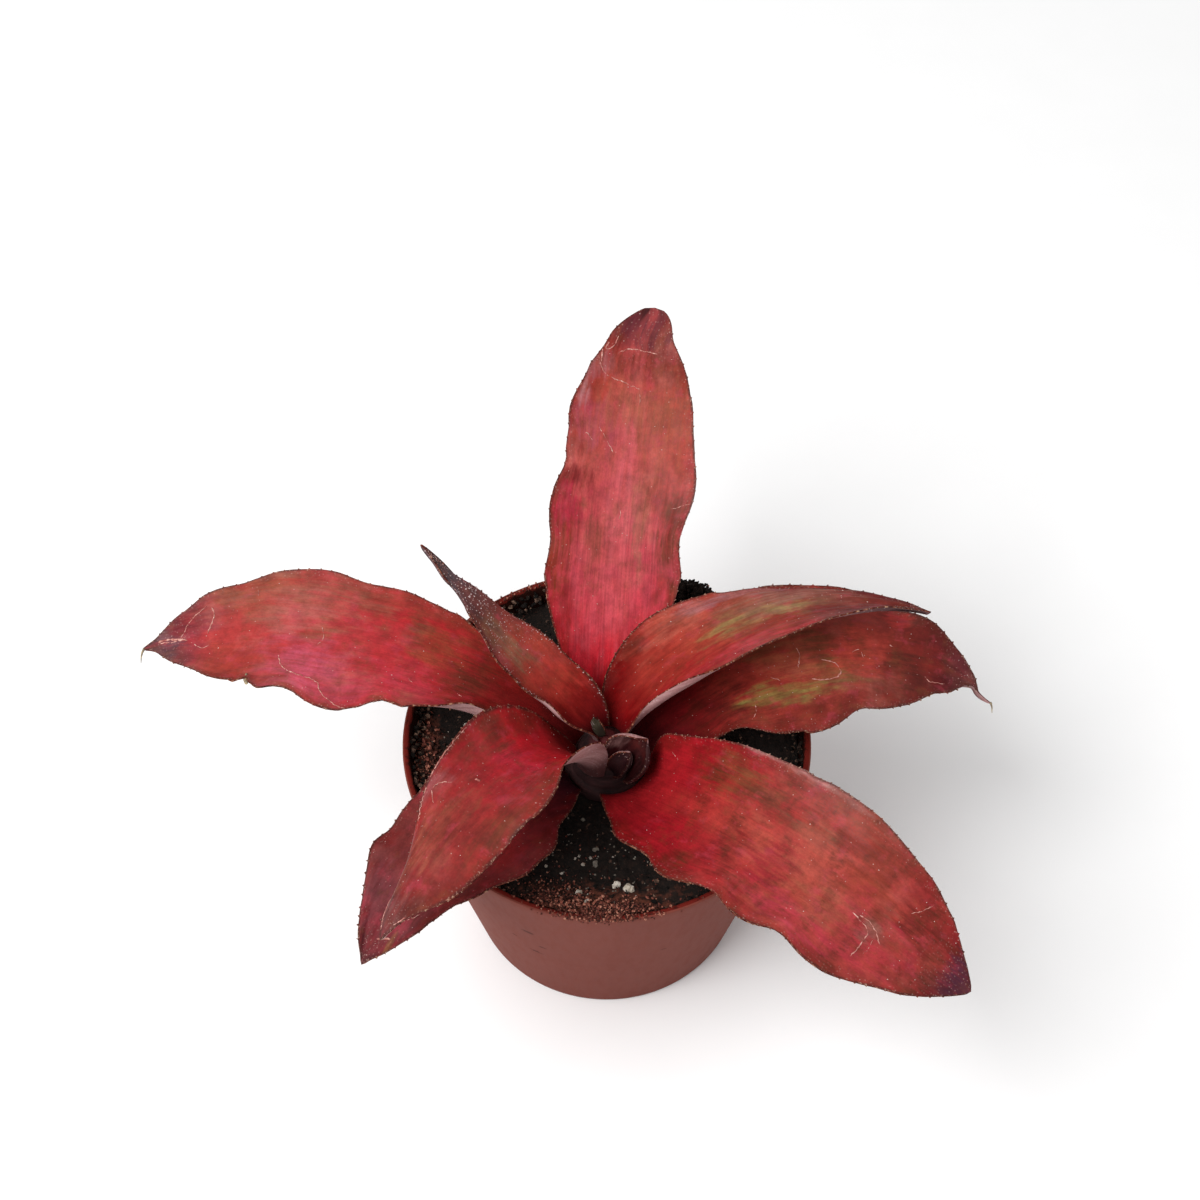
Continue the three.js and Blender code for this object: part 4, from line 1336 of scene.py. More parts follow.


# %% [markdown]
# ## Leaf finishes
# The upper face is satin and leathery. Its ground colour runs along the blade, from deep red at
# the foot, deepened on some leaves with painted shade of the crown, over crimson to a dull purple
# point. Over it lie, in this order, a paler middle, brownish margins, dusty places that are
# partly painted sheen, greenish or pale patches where the leaf has aged and a few patches of
# painted highlight and painted shade, broken olive crossbands, streaks along the veins, the dark
# margin line with its crust, a dust of white scales and the pale spines. The pattern follows the
# blade, so it reads the s and t stored on the mesh.

# %% Looks of the leaves
# ground: colours along the blade at these shares. Each patch: s, t, half width and half length
# in mm, colour, strength. The single numbers are strengths; scurf_from is a place along the
# blade.
LOOKS = {
    "leaf_back": {
        "ground": [(0, "7e1015"), (0.14, "b71c29"), (0.35, "a83742"), (0.6, "a0403c"), (0.82, "953529"),
            (0.93, "691918"), (1, "3d1214")],
        "middle": ("ad4646", 0.55), "margins": ("7e1f15", 0.6), "mottle": ("633021", 0.5), "streaks": 1,
        "dust_and_sheen": ("b26e65", 0.35),
        "patches": [
            (-0.62, 0.71, 4.5, 5, "9a3f4a", 0.6), (-0.85, 0.86, 3, 2.6, "9b6166", 0.4),
            (0.05, 0.875, 7, 2.6, "642114", 0.6), (0.55, 0.72, 5, 9, "8c4430", 0.55),
            (-0.75, 0.58, 3.5, 2, "6a1616", 0.7), (-0.1, 0.95, 5, 2.6, "5e242c", 0.7),
            (0.3, 0.49, 2, 7, "8f4f40", 0.65), (0.6, 0.55, 4, 3, "802f25", 0.6),
            (-0.8, 0.42, 2.6, 8, "7c2a1c", 0.8), (0.8, 0.44, 2.2, 9, "6e2a1e", 0.8),
            (-0.35, 0.44, 2, 5, "7e3a2e", 0.6), (-0.72, 0.5, 3, 4, "a8243a", 0.7),
            (-0.95, 0.82, 0.8, 5, "a87476", 0.5), (-0.2, 0.28, 5, 8, "b84852", 0.4),
            (0, 0.55, 2.4, 14, "b04a50", 0.6), (-0.1, 0.76, 5, 4, "96503c", 0.5)],
    },
    # The dark red ground at the foot is partly painted shade.
    "leaf_left": {
        "ground": [(0, "5e1214"), (0.2, "751411"), (0.38, "9e1f23"), (0.6, "a62f34"), (0.78, "96342c"),
            (0.9, "80282c"), (1, "4c2a30")],
        "middle": ("a52c30", 0.5), "margins": ("6e2c1e", 0.6), "mottle": ("613522", 0.45), "streaks": 0.6,
        "dust_and_sheen": ("ac6e64", 0.4),
        "patches": [
            (-0.45, 0.62, 6, 8, "a23f4e", 0.6), (-0.75, 0.54, 3, 6, "9d3644", 0.6),
            (0.5, 0.41, 3, 2, "6a3c2a", 0.7), (0.31, 0.72, 2.5, 3, "844a3a", 0.6),
            (0.12, 0.605, 2, 3, "8c4a38", 0.6), (0.78, 0.5, 3, 8, "8a3026", 0.7),
            (0.3, 0.36, 4, 5, "8c3c28", 0.6), (-0.2, 0.3, 4, 3, "52301c", 0.5),
            (-0.6, 0.4, 5, 8, "b03040", 0.5), (0.75, 0.75, 3, 8, "8c4632", 0.6),
            (0.6, 0.62, 5, 9, "8c5041", 0.5), (0.35, 0.88, 4, 3, "7c2e36", 0.6),
            (-0.1, 0.965, 4, 4, "50323a", 0.75), (0.1, 0.27, 7, 4, "4e2016", 0.5),
            (0.2, 0.945, 1.2, 2.4, "7c5a5e", 0.45), (0.7, 0.92, 2.4, 4, "64181f", 0.7),
            (-0.55, 0.62, 3.5, 5, "b4485c", 0.7), (0.3, 0.66, 4, 5, "a85450", 0.5),
            (-0.6, 0.76, 4, 5, "9a3026", 0.5)],
    },
    "leaf_young_left": {
        "ground": [(0, "48070c"), (0.2, "721512"), (0.45, "95372b"), (0.65, "652925"), (0.85, "54464a"),
            (1, "5c5054")],
        "middle": ("7f3426", 0.3), "margins": ("5e2422", 0.4), "mottle": ("552f22", 0.5), "streaks": 0.5,
        "dust_and_sheen": ("a27074", 0.5), "scurf": 2, "scurf_from": 0.35, "scurf_colour": "c4b2b0", "spines": 0.3,
        "crust": 0.25,
        "patches": [
            (-0.3, 0.5, 2, 6, "76553f", 0.7), (0.2, 0.3, 4, 5, "9f2f28", 0.5),
            (0.1, 0.7, 3, 5, "4e2c2c", 0.6), (0, 0.92, 4, 6, "4a3e42", 0.9)],
    },
    "leaf_right_upper": {
        "ground": [(0, "4e1013"), (0.12, "690608"), (0.3, "9a372c"), (0.5, "873627"), (0.7, "6e2420"),
            (0.88, "4c1a1c"), (1, "3a2024")],
        "middle": ("903223", 0.35), "margins": ("71211d", 0.5), "mottle": ("562f1d", 0.33),
        "streaks": 0.7, "dust_and_sheen": ("8e5248", 0.35),
        "patches": [
            (-0.2, 0.5, 1.8, 7, "8a6e42", 0.8), (0.1, 0.45, 1.2, 5, "84623c", 0.7),
            (-0.05, 0.62, 2.2, 5, "8a6c48", 0.8), (-0.5, 0.6, 3, 8, "8c5c50", 0.7),
            (0.3, 0.55, 1.6, 9, "772014", 0.6), (-0.75, 0.3, 3, 7, "9c4c3e", 0.6),
            (-0.35, 0.42, 2, 3, "6a4430", 0.4), (-0.5, 0.5, 3, 2, "6a4430", 0.4),
            # the grey-lilac streak along the left margin, second on this line, is a painted highlight
            (0.7, 0.42, 2.4, 12, "a4343c", 0.7), (-0.88, 0.5, 1.2, 9, "94686c", 0.5),
            (0.2, 0.72, 3, 4, "5c1e1a", 0.6), (-0.4, 0.75, 3, 4, "86483c", 0.6),
            (-0.85, 0.19, 1.2, 2.6, "4a1c12", 0.5), (0.5, 0.3, 4, 10, "8c121c", 0.5)],
    },
    # The dark red ground at the foot is partly painted shade.
    "leaf_right_lower": {
        "ground": [(0, "4e0e14"), (0.2, "6e1015"), (0.35, "8a2a23"), (0.55, "8c322a"), (0.72, "681f1a"),
            (0.88, "541012"), (1, "4f2e39")],
        "middle": ("8d2d22", 0.35), "margins": ("541714", 0.5), "mottle": ("502f19", 0.45),
        "streaks": 0.5, "dust_and_sheen": ("8f5d50", 0.35),
        "patches": [
            (0.44, 0.36, 1.6, 5, "80703a", 0.8), (0.5, 0.45, 1.5, 6, "7c6c38", 0.75),
            (0.3, 0.56, 3, 5, "6a5230", 0.55), (0.05, 0.62, 4, 6, "a0382e", 0.7),
            (-0.3, 0.42, 4, 6, "7c4a30", 0.5), (-0.75, 0.72, 3, 2, "a9312d", 0.6),
            (0.45, 0.22, 5, 6, "541512", 0.7), (0.1, 0.44, 3, 4, "9a4c34", 0.6),
            (0.2, 0.75, 4, 4, "4c1c14", 0.6), (-0.1, 0.52, 3, 3, "54301c", 0.6),
            (0.75, 0.4, 3, 12, "652118", 0.6), (-0.6, 0.88, 4, 4, "5d2425", 0.5),
            (-0.5, 0.33, 3, 7, "5a3e29", 0.5)],
    },
    "leaf_front_right": {
        "ground": [(0, "7c101a"), (0.1, "8e161c"), (0.22, "850f19"), (0.36, "8c121c"), (0.55, "903029"),
            (0.72, "96362f"), (0.92, "861f21"), (1, "4a141c")],
        "middle": ("9e3f31", 0.35), "margins": ("60150e", 0.5), "mottle": ("4c2312", 0.75),
        "streaks": 0.7, "dust_and_sheen": ("9c544a", 0.3),
        "patches": [
            (-0.6, 0.34, 3.2, 5, "703822", 0.8), (-0.56, 0.275, 1.6, 2.8, "4c2614", 0.75),
            (-0.5, 0.43, 3, 4, "5a2c1c", 0.65), (-0.45, 0.55, 2.4, 4, "5a4230", 0.6),
            (-0.97, 0.45, 0.7, 14, "a8807c", 0.6), (0.75, 0.35, 3, 3, "5c1c12", 0.6),
            (-0.7, 0.68, 3, 6, "6e2418", 0.6), (0.6, 0.62, 3, 8, "a83040", 0.6),
            (-0.1, 0.56, 6, 10, "a24538", 0.6), (0.25, 0.52, 6, 4, "841221", 0.55),
            (0.3, 0.42, 4, 3, "610c10", 0.6), (0.1, 0.78, 3, 4, "674634", 0.55),
            (-0.3, 0.72, 5, 5, "7a2e1e", 0.6), (-0.35, 0.86, 3.5, 5, "591a11", 0.65),
            (-0.95, 0.62, 2.6, 16, "803a2d", 0.55), (0.3, 0.76, 6, 7, "a62d3b", 0.5),
            (-0.1, 0.965, 4.4, 2.8, "4c2030", 0.85), (0.3, 0.66, 3, 5, "8f4a36", 0.55),
            (0.2, 0.765, 1.6, 1.6, "8c5c52", 0.5)],
    },
    "leaf_front_left_upper": {
        "ground": [(0, "480505"), (0.15, "85181b"), (0.32, "af1722"), (0.5, "8a191e"), (0.68, "8e2725"),
            (0.85, "4b1812"), (0.95, "44181b"), (1, "31171b")],
        "middle": ("8b1d21", 0.35), "margins": ("6e2217", 0.6), "mottle": ("4f1c14", 0.55),
        "streaks": 0.4, "dust_and_sheen": ("9b5250", 0.25),
        "patches": [
            (0.75, 0.6, 1.8, 3, "94484a", 0.7), (0.3, 0.95, 6, 4, "6a3e3c", 0.6),
            (0, 0.4, 5, 4, "b02438", 0.5), (0.7, 0.4, 2, 6, "6e3024", 0.6),
            (0.2, 0.72, 3.5, 8, "8a4232", 0.65), (0.1, 0.58, 3, 6, "7e3028", 0.5),
            (-0.75, 0.62, 2.4, 6, "5e2c1c", 0.7), (-0.3, 0.65, 3, 3, "6e1d1b", 0.55),
            (0.1, 0.72, 3, 3, "601e16", 0.5), (-0.7, 0.45, 2.6, 9, "74281e", 0.6),
            (-0.2, 0.5, 4, 5, "911621", 0.5)],
    },
    "leaf_front_left_lower": {
        "ground": [(0, "34101a"), (0.2, "521519"), (0.4, "82262a"), (0.65, "6e2a28"), (0.86, "682a2e"),
            (0.93, "56181e"), (0.98, "221014")],
        "middle": ("5a1214", 0.35), "margins": ("751817", 0.5), "mottle": ("3c1812", 0.4), "streaks": 0.5,
        "dust_and_sheen": ("925450", 0.35),
        "patches": [
            (-0.4, 0.45, 4, 6, "9d2527", 0.6), (-0.3, 0.91, 4, 3, "7e242c", 0.6),
            (0.4, 0.78, 4, 6, "70343a", 0.45), (-0.95, 0.94, 0.5, 3, "7c5430", 0.55)],
    },
    # The leaves in the hollow of the heart: their dark purple red is deepened with painted shade of the
    # hollow.
    "leaf_heart_inner": {
        "ground": [(0, "15070a"), (0.35, "2e1415"), (0.7, "260e11"), (1, "341618")],
        "middle": ("36191b", 0.6), "margins": ("281012", 0.6), "mottle": ("1a0b0e", 0.4), "streaks": 0.6,
        "dust_and_sheen": ("5c3c3e", 0.2), "tints": 0, "scurf": 0, "spines": 0.1, "crust": 0.1,
        "patches": [],
    },
    "leaf_heart_hood": {
        "ground": [(0, "200a0c"), (0.45, "370f11"), (0.8, "421415"), (1, "5c2e2b")],
        "middle": ("2c0c0f", 0.3), "margins": ("48201e", 0.5), "mottle": ("220c0f", 0.3), "streaks": 0.7,
        "dust_and_sheen": ("6c4c4c", 0.2), "scurf": 0.3, "scurf_from": 0.75, "tints": 0, "spines": 0.15,
        "crust": 0.15,
        "patches": [
            # the first two patches are painted shade, in the middle and on the right of the hood
            (-0.1, 0.72, 4.5, 3, "2c0709", 0.9), (0.75, 0.6, 4.5, 5, "220809", 0.95),
            (-0.78, 0.7, 1.8, 2.4, "74504e", 0.8), (0.1, 0.8, 2, 1.2, "4c1512", 0.6)],
    },
    "leaf_heart_spike": {
        "ground": [(0, "543a32"), (0.4, "3c3226"), (1, "24261c")],
        "middle": ("3a3c30", 0.3), "margins": ("523c36", 0.5), "mottle": ("2a2c22", 0.3), "streaks": 0.5,
        "dust_and_sheen": ("77756a", 0.4), "scurf": 0.8, "scurf_from": 0, "tints": 0,
        "patches": [],
    },
}


# %% Upper face
class LeafPaint(Paint):
    """A finish laid out on the blade: across is s, onwards is t, and flat a place in mm."""

    def __init__(self, name, roughness, gloss, seed):
        super().__init__(name, roughness, gloss)
        self.seed = seed
        sideways, forwards, self.from_edge = self.split(self.stored("on_leaf"))
        self.across, self.onwards, self.spine = self.split(self.stored("shares"))
        self.flat = self.node("CombineXYZ", {0: sideways, 1: forwards, 2: float(seed)})[0]

    def noise(self, wide, long, number, detail=3.0, rough=0.55):
        """A cloud on the blade, stretched along it. The number adds to the leaf's seed."""
        return self.cloud(self.flat, (wide, long, 1.0), self.seed + number, detail, rough)

    def part(self, low, high, to_low=0.0, to_high=1.0):
        """A soft step along the blade."""
        return self.between(self.onwards, low, high, to_low, to_high)

    def pale_spines(self, amount, colour):
        self.veil(self.between(self.spine, 0.45, 0.95, 0.0, amount), colour)


PATCH_GROWTH = 1.3


def leaf_patch(paint, leaf, brushed, number, patch):
    s, t, half_width, half_length, colour, strength = patch
    half = float(width_at(leaf, np.array(t))) / 2
    centre = (s * half, t * leaf["length"], paint.seed + number)
    radii = (half_width * PATCH_GROWTH, half_length * PATCH_GROWTH, 1e3)
    ragged = (0.45, 0.14, 1.0)
    mask = paint.round_mask(paint.flat, centre, radii, ragged, paint.seed + number, 0.55)
    paint.veil(paint.times(paint.times(mask, brushed), strength), colour)


def leaf_upper(name, leaf, look, seed):
    paint = LeafPaint(name, 0.45, 0.2, seed)
    between, noised, part = paint.between, paint.noise, paint.part
    plus, times, veil = paint.plus, paint.times, paint.veil
    off_middle = paint.maths("ABSOLUTE", paint.across)

    drift = noised(0.09, 0.05, 1)
    paint.ramp(plus(paint.onwards, between(drift, 0.25, 0.75, -0.07, 0.07)), look["ground"])

    paler, amount = look["middle"]
    inner = plus(off_middle, between(noised(0.2, 0.05, 2), 0.3, 0.7, -0.25, 0.25))
    veil(times(between(inner, 0.55, 0.05, 0.0, amount), part(0.12, 0.35)), paler)

    browner, amount = look["margins"]
    outer = plus(off_middle, between(noised(0.3, 0.12, 3), 0.3, 0.7, -0.28, 0.28))
    veil(between(outer, 0.62, 1.05, 0.0, amount), browner)

    # Dusty places, partly real dust and partly painted sheen: a pale bloom over the outer blade, rougher
    # where it lies.
    pale, amount = look["dust_and_sheen"]
    dust_and_sheen_mask = between(noised(0.10, 0.07, 4, 5.0, 0.65), 0.48, 0.72, 0.0, amount)
    dust_and_sheen_mask = times(dust_and_sheen_mask, part(0.25, 0.5))
    veil(dust_and_sheen_mask, pale)

    brushed = between(noised(1.3, 0.1, 23, 3.0, 0.6), 0.34, 0.62, 0.55, 1.3)
    for number, patch in enumerate(look["patches"]):
        leaf_patch(paint, leaf, brushed, 10 + number, patch)

    dark, amount = look["mottle"]
    bands = between(noised(0.11, 0.20, 5, 5.0, 0.62), 0.44, 0.68)
    dashes = between(noised(1.2, 0.3, 6, 4.0, 0.65), 0.36, 0.66, 0.2, 1.0)
    veil(times(times(bands, dashes), part(0.12, 0.4, 0.1, amount)), dark)

    streak = plus(times(noised(0.75, 0.018, 7, 3.0, 0.6), 0.6), noised(2.6, 0.07, 8, 3.0, 0.6))
    depth = times(part(0.68, 0.42, 0.35, 1.0), look["streaks"])
    paint.shade(plus(times(between(streak, 0.5, 1.1, -0.2, 0.2), depth), 1.0))
    tint = noised(0.26, 0.17, 25, 5.0, 0.65)
    tinted = part(0.12, 0.35, 0.0, look.get("tints", 0.34))
    veil(times(between(tint, 0.54, 0.68), tinted), "a83848")
    veil(times(between(tint, 0.46, 0.32), tinted), "6a3a22")
    paint.shade(between(noised(0.4, 0.28, 24, 5.0, 0.65), 0.3, 0.7, 0.8, 1.16))
    grain = noised(3.2, 1.6, 9, 4.0, 0.7)
    paint.shade(between(grain, 0.3, 0.7, 0.9, 1.1))

    line = between(paint.from_edge, 0.55, 0.15, 0.0, 0.8)
    veil(times(line, between(noised(0.5, 0.3, 21), 0.35, 0.55, 0.35, 1.0)), "3e1a16")
    crust = times(between(paint.from_edge, 0.5, 0.1), look.get("crust", 0.6))
    veil(times(crust, between(grain, 0.54, 0.64)), "b8947c")

    dense = between(noised(0.16, 0.12, 22), 0.4, 0.65, 0.0, 0.55)
    dotted = times(paint.specks(paint.flat, 1.7, 0.16, seed), dense)
    veil(dotted, "d0a8a0")
    at_tip = plus(part(look.get("scurf_from", 0.8), 1.0), between(off_middle, 0.8, 1.0))
    scale = times(paint.specks(paint.flat, 0.62, 0.2, seed + 3), between(grain, 0.42, 0.6))
    scale = times(times(scale, at_tip), look.get("scurf", 0.35))
    veil(scale, look.get("scurf_colour", "bf9c92"))
    paint.pale_spines(look.get("spines", 0.6), "a8907c")

    rough = plus(between(grain, 0.3, 0.7, 0.42, 0.57), times(dust_and_sheen_mask, 0.3))
    sheen = part(0.2, 0.5, 0.04, 0.15)
    rough = plus(rough, part(0.45, 0.2, 0.0, 0.25))
    paint.feed(paint.shader, {"Roughness": rough, "Specular IOR Level": sheen})
    return paint.finished(plus(plus(times(streak, 0.7), dotted), times(grain, 0.25)), 0.16, 0.35)


# %% [markdown]
# The underside is covered with pale scales and looks pinkish grey; it shows where a margin
# stands up. The margin itself is a narrow dark edge with a pale crust here and there.


# %% Underside and margin
def leaf_under(name, colours, shade="4a2021", inward=0, foot=0, point=0, begin=0.5, right=0):
    """Colours: three along the veins, and one for the blush. The shade colour comes in from the
    margin, at the foot and on the right half as painted shade, and darkens the colour towards the
    point, as strongly as the last values say."""
    paint = LeafPaint(name, 0.62, 0.2, 5)
    between = paint.between
    streak = paint.noise(1.6, 0.05, -3, 3.0, 0.6)
    paint.ramp(streak, list(zip((0.3, 0.55, 0.8), colours)))
    blush = paint.noise(0.09, 0.06, -1)
    paint.veil(between(blush, 0.45, 0.7, 0.0, 0.5), colours[3])
    paint.shade(between(paint.noise(3.0, 1.2, -2, 4.0, 0.7), 0.3, 0.7, 0.88, 1.1))
    # Painted shade inwards from the margin, at the foot and on the right half; towards the point the same
    # colour only darkens the tone.
    darker = between(paint.from_edge, 1.6, 4.6, 0.0, inward)
    darker = paint.maths("MAXIMUM", darker, paint.part(0.15, 0.05, 0.0, foot))
    darker = paint.maths("MAXIMUM", darker, paint.part(begin, begin + 0.25, 0.0, point))
    darker = paint.maths("MAXIMUM", darker, between(paint.across, -0.1, 0.4, 0.0, right))
    paint.veil(darker, shade)
    paint.veil(paint.times(paint.specks(paint.flat, 0.9, 0.2, 6), 0.4), "cdb6ba")
    paint.pale_spines(0.6, "a8907c")
    return paint.finished(streak, 0.16, 0.4)


def leaf_margin(name, painted_shade_right=0.0):
    paint = LeafPaint(name, 0.8, 0.03, 9)
    crust = paint.noise(1.0, 0.9, -5, 4.0, 0.7)
    paint.ramp(crust, [(0.42, "3a1613"), (0.55, "6a3428"), (0.7, "b08a6e")])
    paint.pale_spines(0.7, "ab9380")
    # Painted shade over the right half of the margin.
    paint.veil(paint.times(paint.between(paint.across, -0.5, 0.1), painted_shade_right), "240d0f")
    return paint.finished(crust, 0.1, 0.4)


# Painted shade darkens every underside at its foot, down in the crown. The hood's underside, also used by
# the inner heart leaf, has painted shade inwards from its margin and on its right half.
pale = ("8c6463", "ac8685", "c4a4a2", "a86c6c")
pale_under = leaf_under("leaf_underside", pale, foot=0.85)
young_under = leaf_under("young_underside", pale, "4a3a3c", foot=0.6, point=0.85)
right_under = leaf_under("right_underside", pale, "46282a", foot=0.85, point=0.85, begin=0.62)
heart = ("7c5150", "a27876", "b89492", "8c5c5c")
hood_under = leaf_under("hood_underside", heart, "2c1214", inward=0.85, right=0.95)
dark_under = leaf_under("heart_underside", ("2c2620", "343024", "4a4434", "3e3028"))
edge_paint = leaf_margin("leaf_edge")
# The hood's margin has painted shade on its right half.
hood_edge = leaf_margin("hood_edge", 0.9)

# %% [markdown]
# ## The leaves
# Eight strap leaves and the three small ones in the heart. Each is laid, given its body, and
# painted with its own look.

# %% Leaves
# name: CAD node, columns, spine pitch and spine size in mm, seed, slot, underside
PLANT = {
    "back_leaf": ("leaf_back", 60, 2.6, 0.26, 3, "leaf_red", pale_under),
    "left_leaf": ("leaf_left", 64, 2.6, 0.28, 4, "leaf_red", pale_under),
    "young_left_leaf": ("leaf_young_left", 40, 1.8, 0.26, 5, "leaf_bronze", young_under),
    "upper_right_leaf": ("leaf_right_upper", 60, 2.3, 0.3, 6, "leaf_bronze", right_under),
    "lower_right_leaf": ("leaf_right_lower", 60, 2.6, 0.38, 7, "leaf_dark", pale_under),
    "front_right_leaf": ("leaf_front_right", 60, 2.6, 0.32, 8, "leaf_red", pale_under),
    "upper_front_left_leaf": ("leaf_front_left_upper", 56, 2.4, 0.3, 9, "leaf_red", pale_under),
    "lower_front_left_leaf": ("leaf_front_left_lower", 56, 2.0, 0.36, 10, "leaf_dark", pale_under),
    "inner_heart_leaf": ("leaf_heart_inner", 24, 1.2, 0.12, 12, "leaf_dark", hood_under),
    "heart_hood": ("leaf_heart_hood", 40, 1.0, 0.22, 13, "leaf_bronze", hood_under),
    "heart_spike": ("leaf_heart_spike", 20, 0, 0.0, 14, "leaf_bronze", dark_under),
}
for name, (cad, columns, pitch, size, seed, slot, under) in PLANT.items():
    body = leaf_body(name, cad, columns, pitch, size, seed)
    upper = leaf_upper(name + "_upper", LEAVES[cad], LOOKS[cad], seed)
    thickened(body, (upper, under, hood_edge if "heart" in cad else edge_paint))
    stands_for(body, cad)

# %% [markdown]
# ## What lies on the leaves
# White scales, the scurf of a bromeliad, are strewn over every blade and lie thicker towards the
# point and along the margins. A few flat flakes are modelled and copied on to the faces.

# %% Scurf
SEEDS = {row[0]: row[4] for row in PLANT.values()}
FLAKE_SIZES = (0.12, 0.3)
HOOD_RIM_FLAKES = 45


def on_leaf(cad, s, t, lift=0.0):
    """Places on the finished upper face, lift mm above it."""
    leaf = LEAVES[cad]
    s, t = np.atleast_1d(np.asarray(s, float)), np.atleast_1d(np.asarray(t, float))
    out = frame_at(leaf, t)[2]
    raised = out * (veins(leaf, s, t, SEEDS[cad]) + lift)[:, None]
    return upper_face(leaf, s, t) + raised + trimmed(cad, s, t)


def flaked(rng, cad, count, lean, begin=0.08):
    """Spots for flakes. A larger lean pushes them towards the margins and the point."""
    spots = []
    while len(spots) < count:
        s, t = rng.uniform(-0.97, 0.97), rng.uniform(begin, 0.985)
        if rng.random() > (1 - lean) + lean * max(abs(s) ** 3, t**2):
            continue
        curl = CURLS.get(cad)
        if curl and curl[0] * s > 0.7 and curl[1] < t < curl[2]:
            continue
        spots.append((*on_leaf(cad, s, t)[0], rng.uniform(*FLAKE_SIZES)))
    return spots


# CAD node: how many flakes, how strongly they lean outwards, and where they begin
FLAKES = {
    "leaf_back": (70, 0.5), "leaf_left": (80, 0.6), "leaf_young_left": (240, 0.85, 0.36),
    "leaf_right_upper": (110, 0.7), "leaf_right_lower": (120, 0.6), "leaf_front_right": (90, 0.4),
    "leaf_front_left_upper": (90, 0.5), "leaf_front_left_lower": (80, 0.7),
    "leaf_heart_inner": (4, 0.8), "leaf_heart_spike": (24, 0.2),
}
flake_stops = [(0, "8a5a54"), (0.5, "b88a82"), (1, "dcc4bc")]
flake_paint = toned_finish("white_scurf", 0.8, (3, 1), 0.2, flake_stops, (0.05, 0.4))
flake_rng = random.Random(41)
spots = []
for cad, row in FLAKES.items():
    spots += flaked(flake_rng, cad, *row)
for _ in range(HOOD_RIM_FLAKES):
    s, t = flake_rng.uniform(-1.0, -0.84), flake_rng.uniform(0.4, 1.0)
    place = on_leaf("leaf_heart_hood", s, t)[0]
    spots.append((*place, flake_rng.uniform(*FLAKE_SIZES), flake_rng.uniform(0.1, 0.8)))
flakes = rough_balls("flake", 3, 1, 0.35, 71)
gathered("leaf_scurf", flakes, spots, flake_rng, flake_paint)

# %% [markdown]
# Where drops have dried, a thin crusty line is left. Each line is a path over the face, given by
# a few corners in s and t and rounded off, and swept as a half sunk thread of uneven thickness.


# %% Dried lines
def rounded(corners):
    corners = np.array(corners, float)
    for _ in range(2):
        before, after = corners[:-1], corners[1:]
        cut = np.stack([mix(before, after, 0.25), mix(before, after, 0.75)], 1)
        corners = np.vstack([corners[:1], cut.reshape(-1, 2), corners[-1:]])
    steps = np.linspace(0, len(corners) - 1, 12 * len(corners))
    return along_path(steps, range(len(corners)), corners).T


def dried_line(rng, cad, radius, corners):
    line = on_leaf(cad, *rounded(corners))
    run = np.concatenate([[0], np.cumsum(np.linalg.norm(np.diff(line, axis=0), axis=1))])
    path = along_path(np.linspace(0, run[-1], max(5, int(run[-1] / 0.4))), run, line)
    path[1:-1] += [[rng.gauss(0, 0.07) for _ in range(3)] for _ in path[1:-1]]
    radii = [radius * rng.uniform(0.35, 1.25) for _ in path]
    radii[0] = radii[-1] = 0.3 * radius
    return path, radii


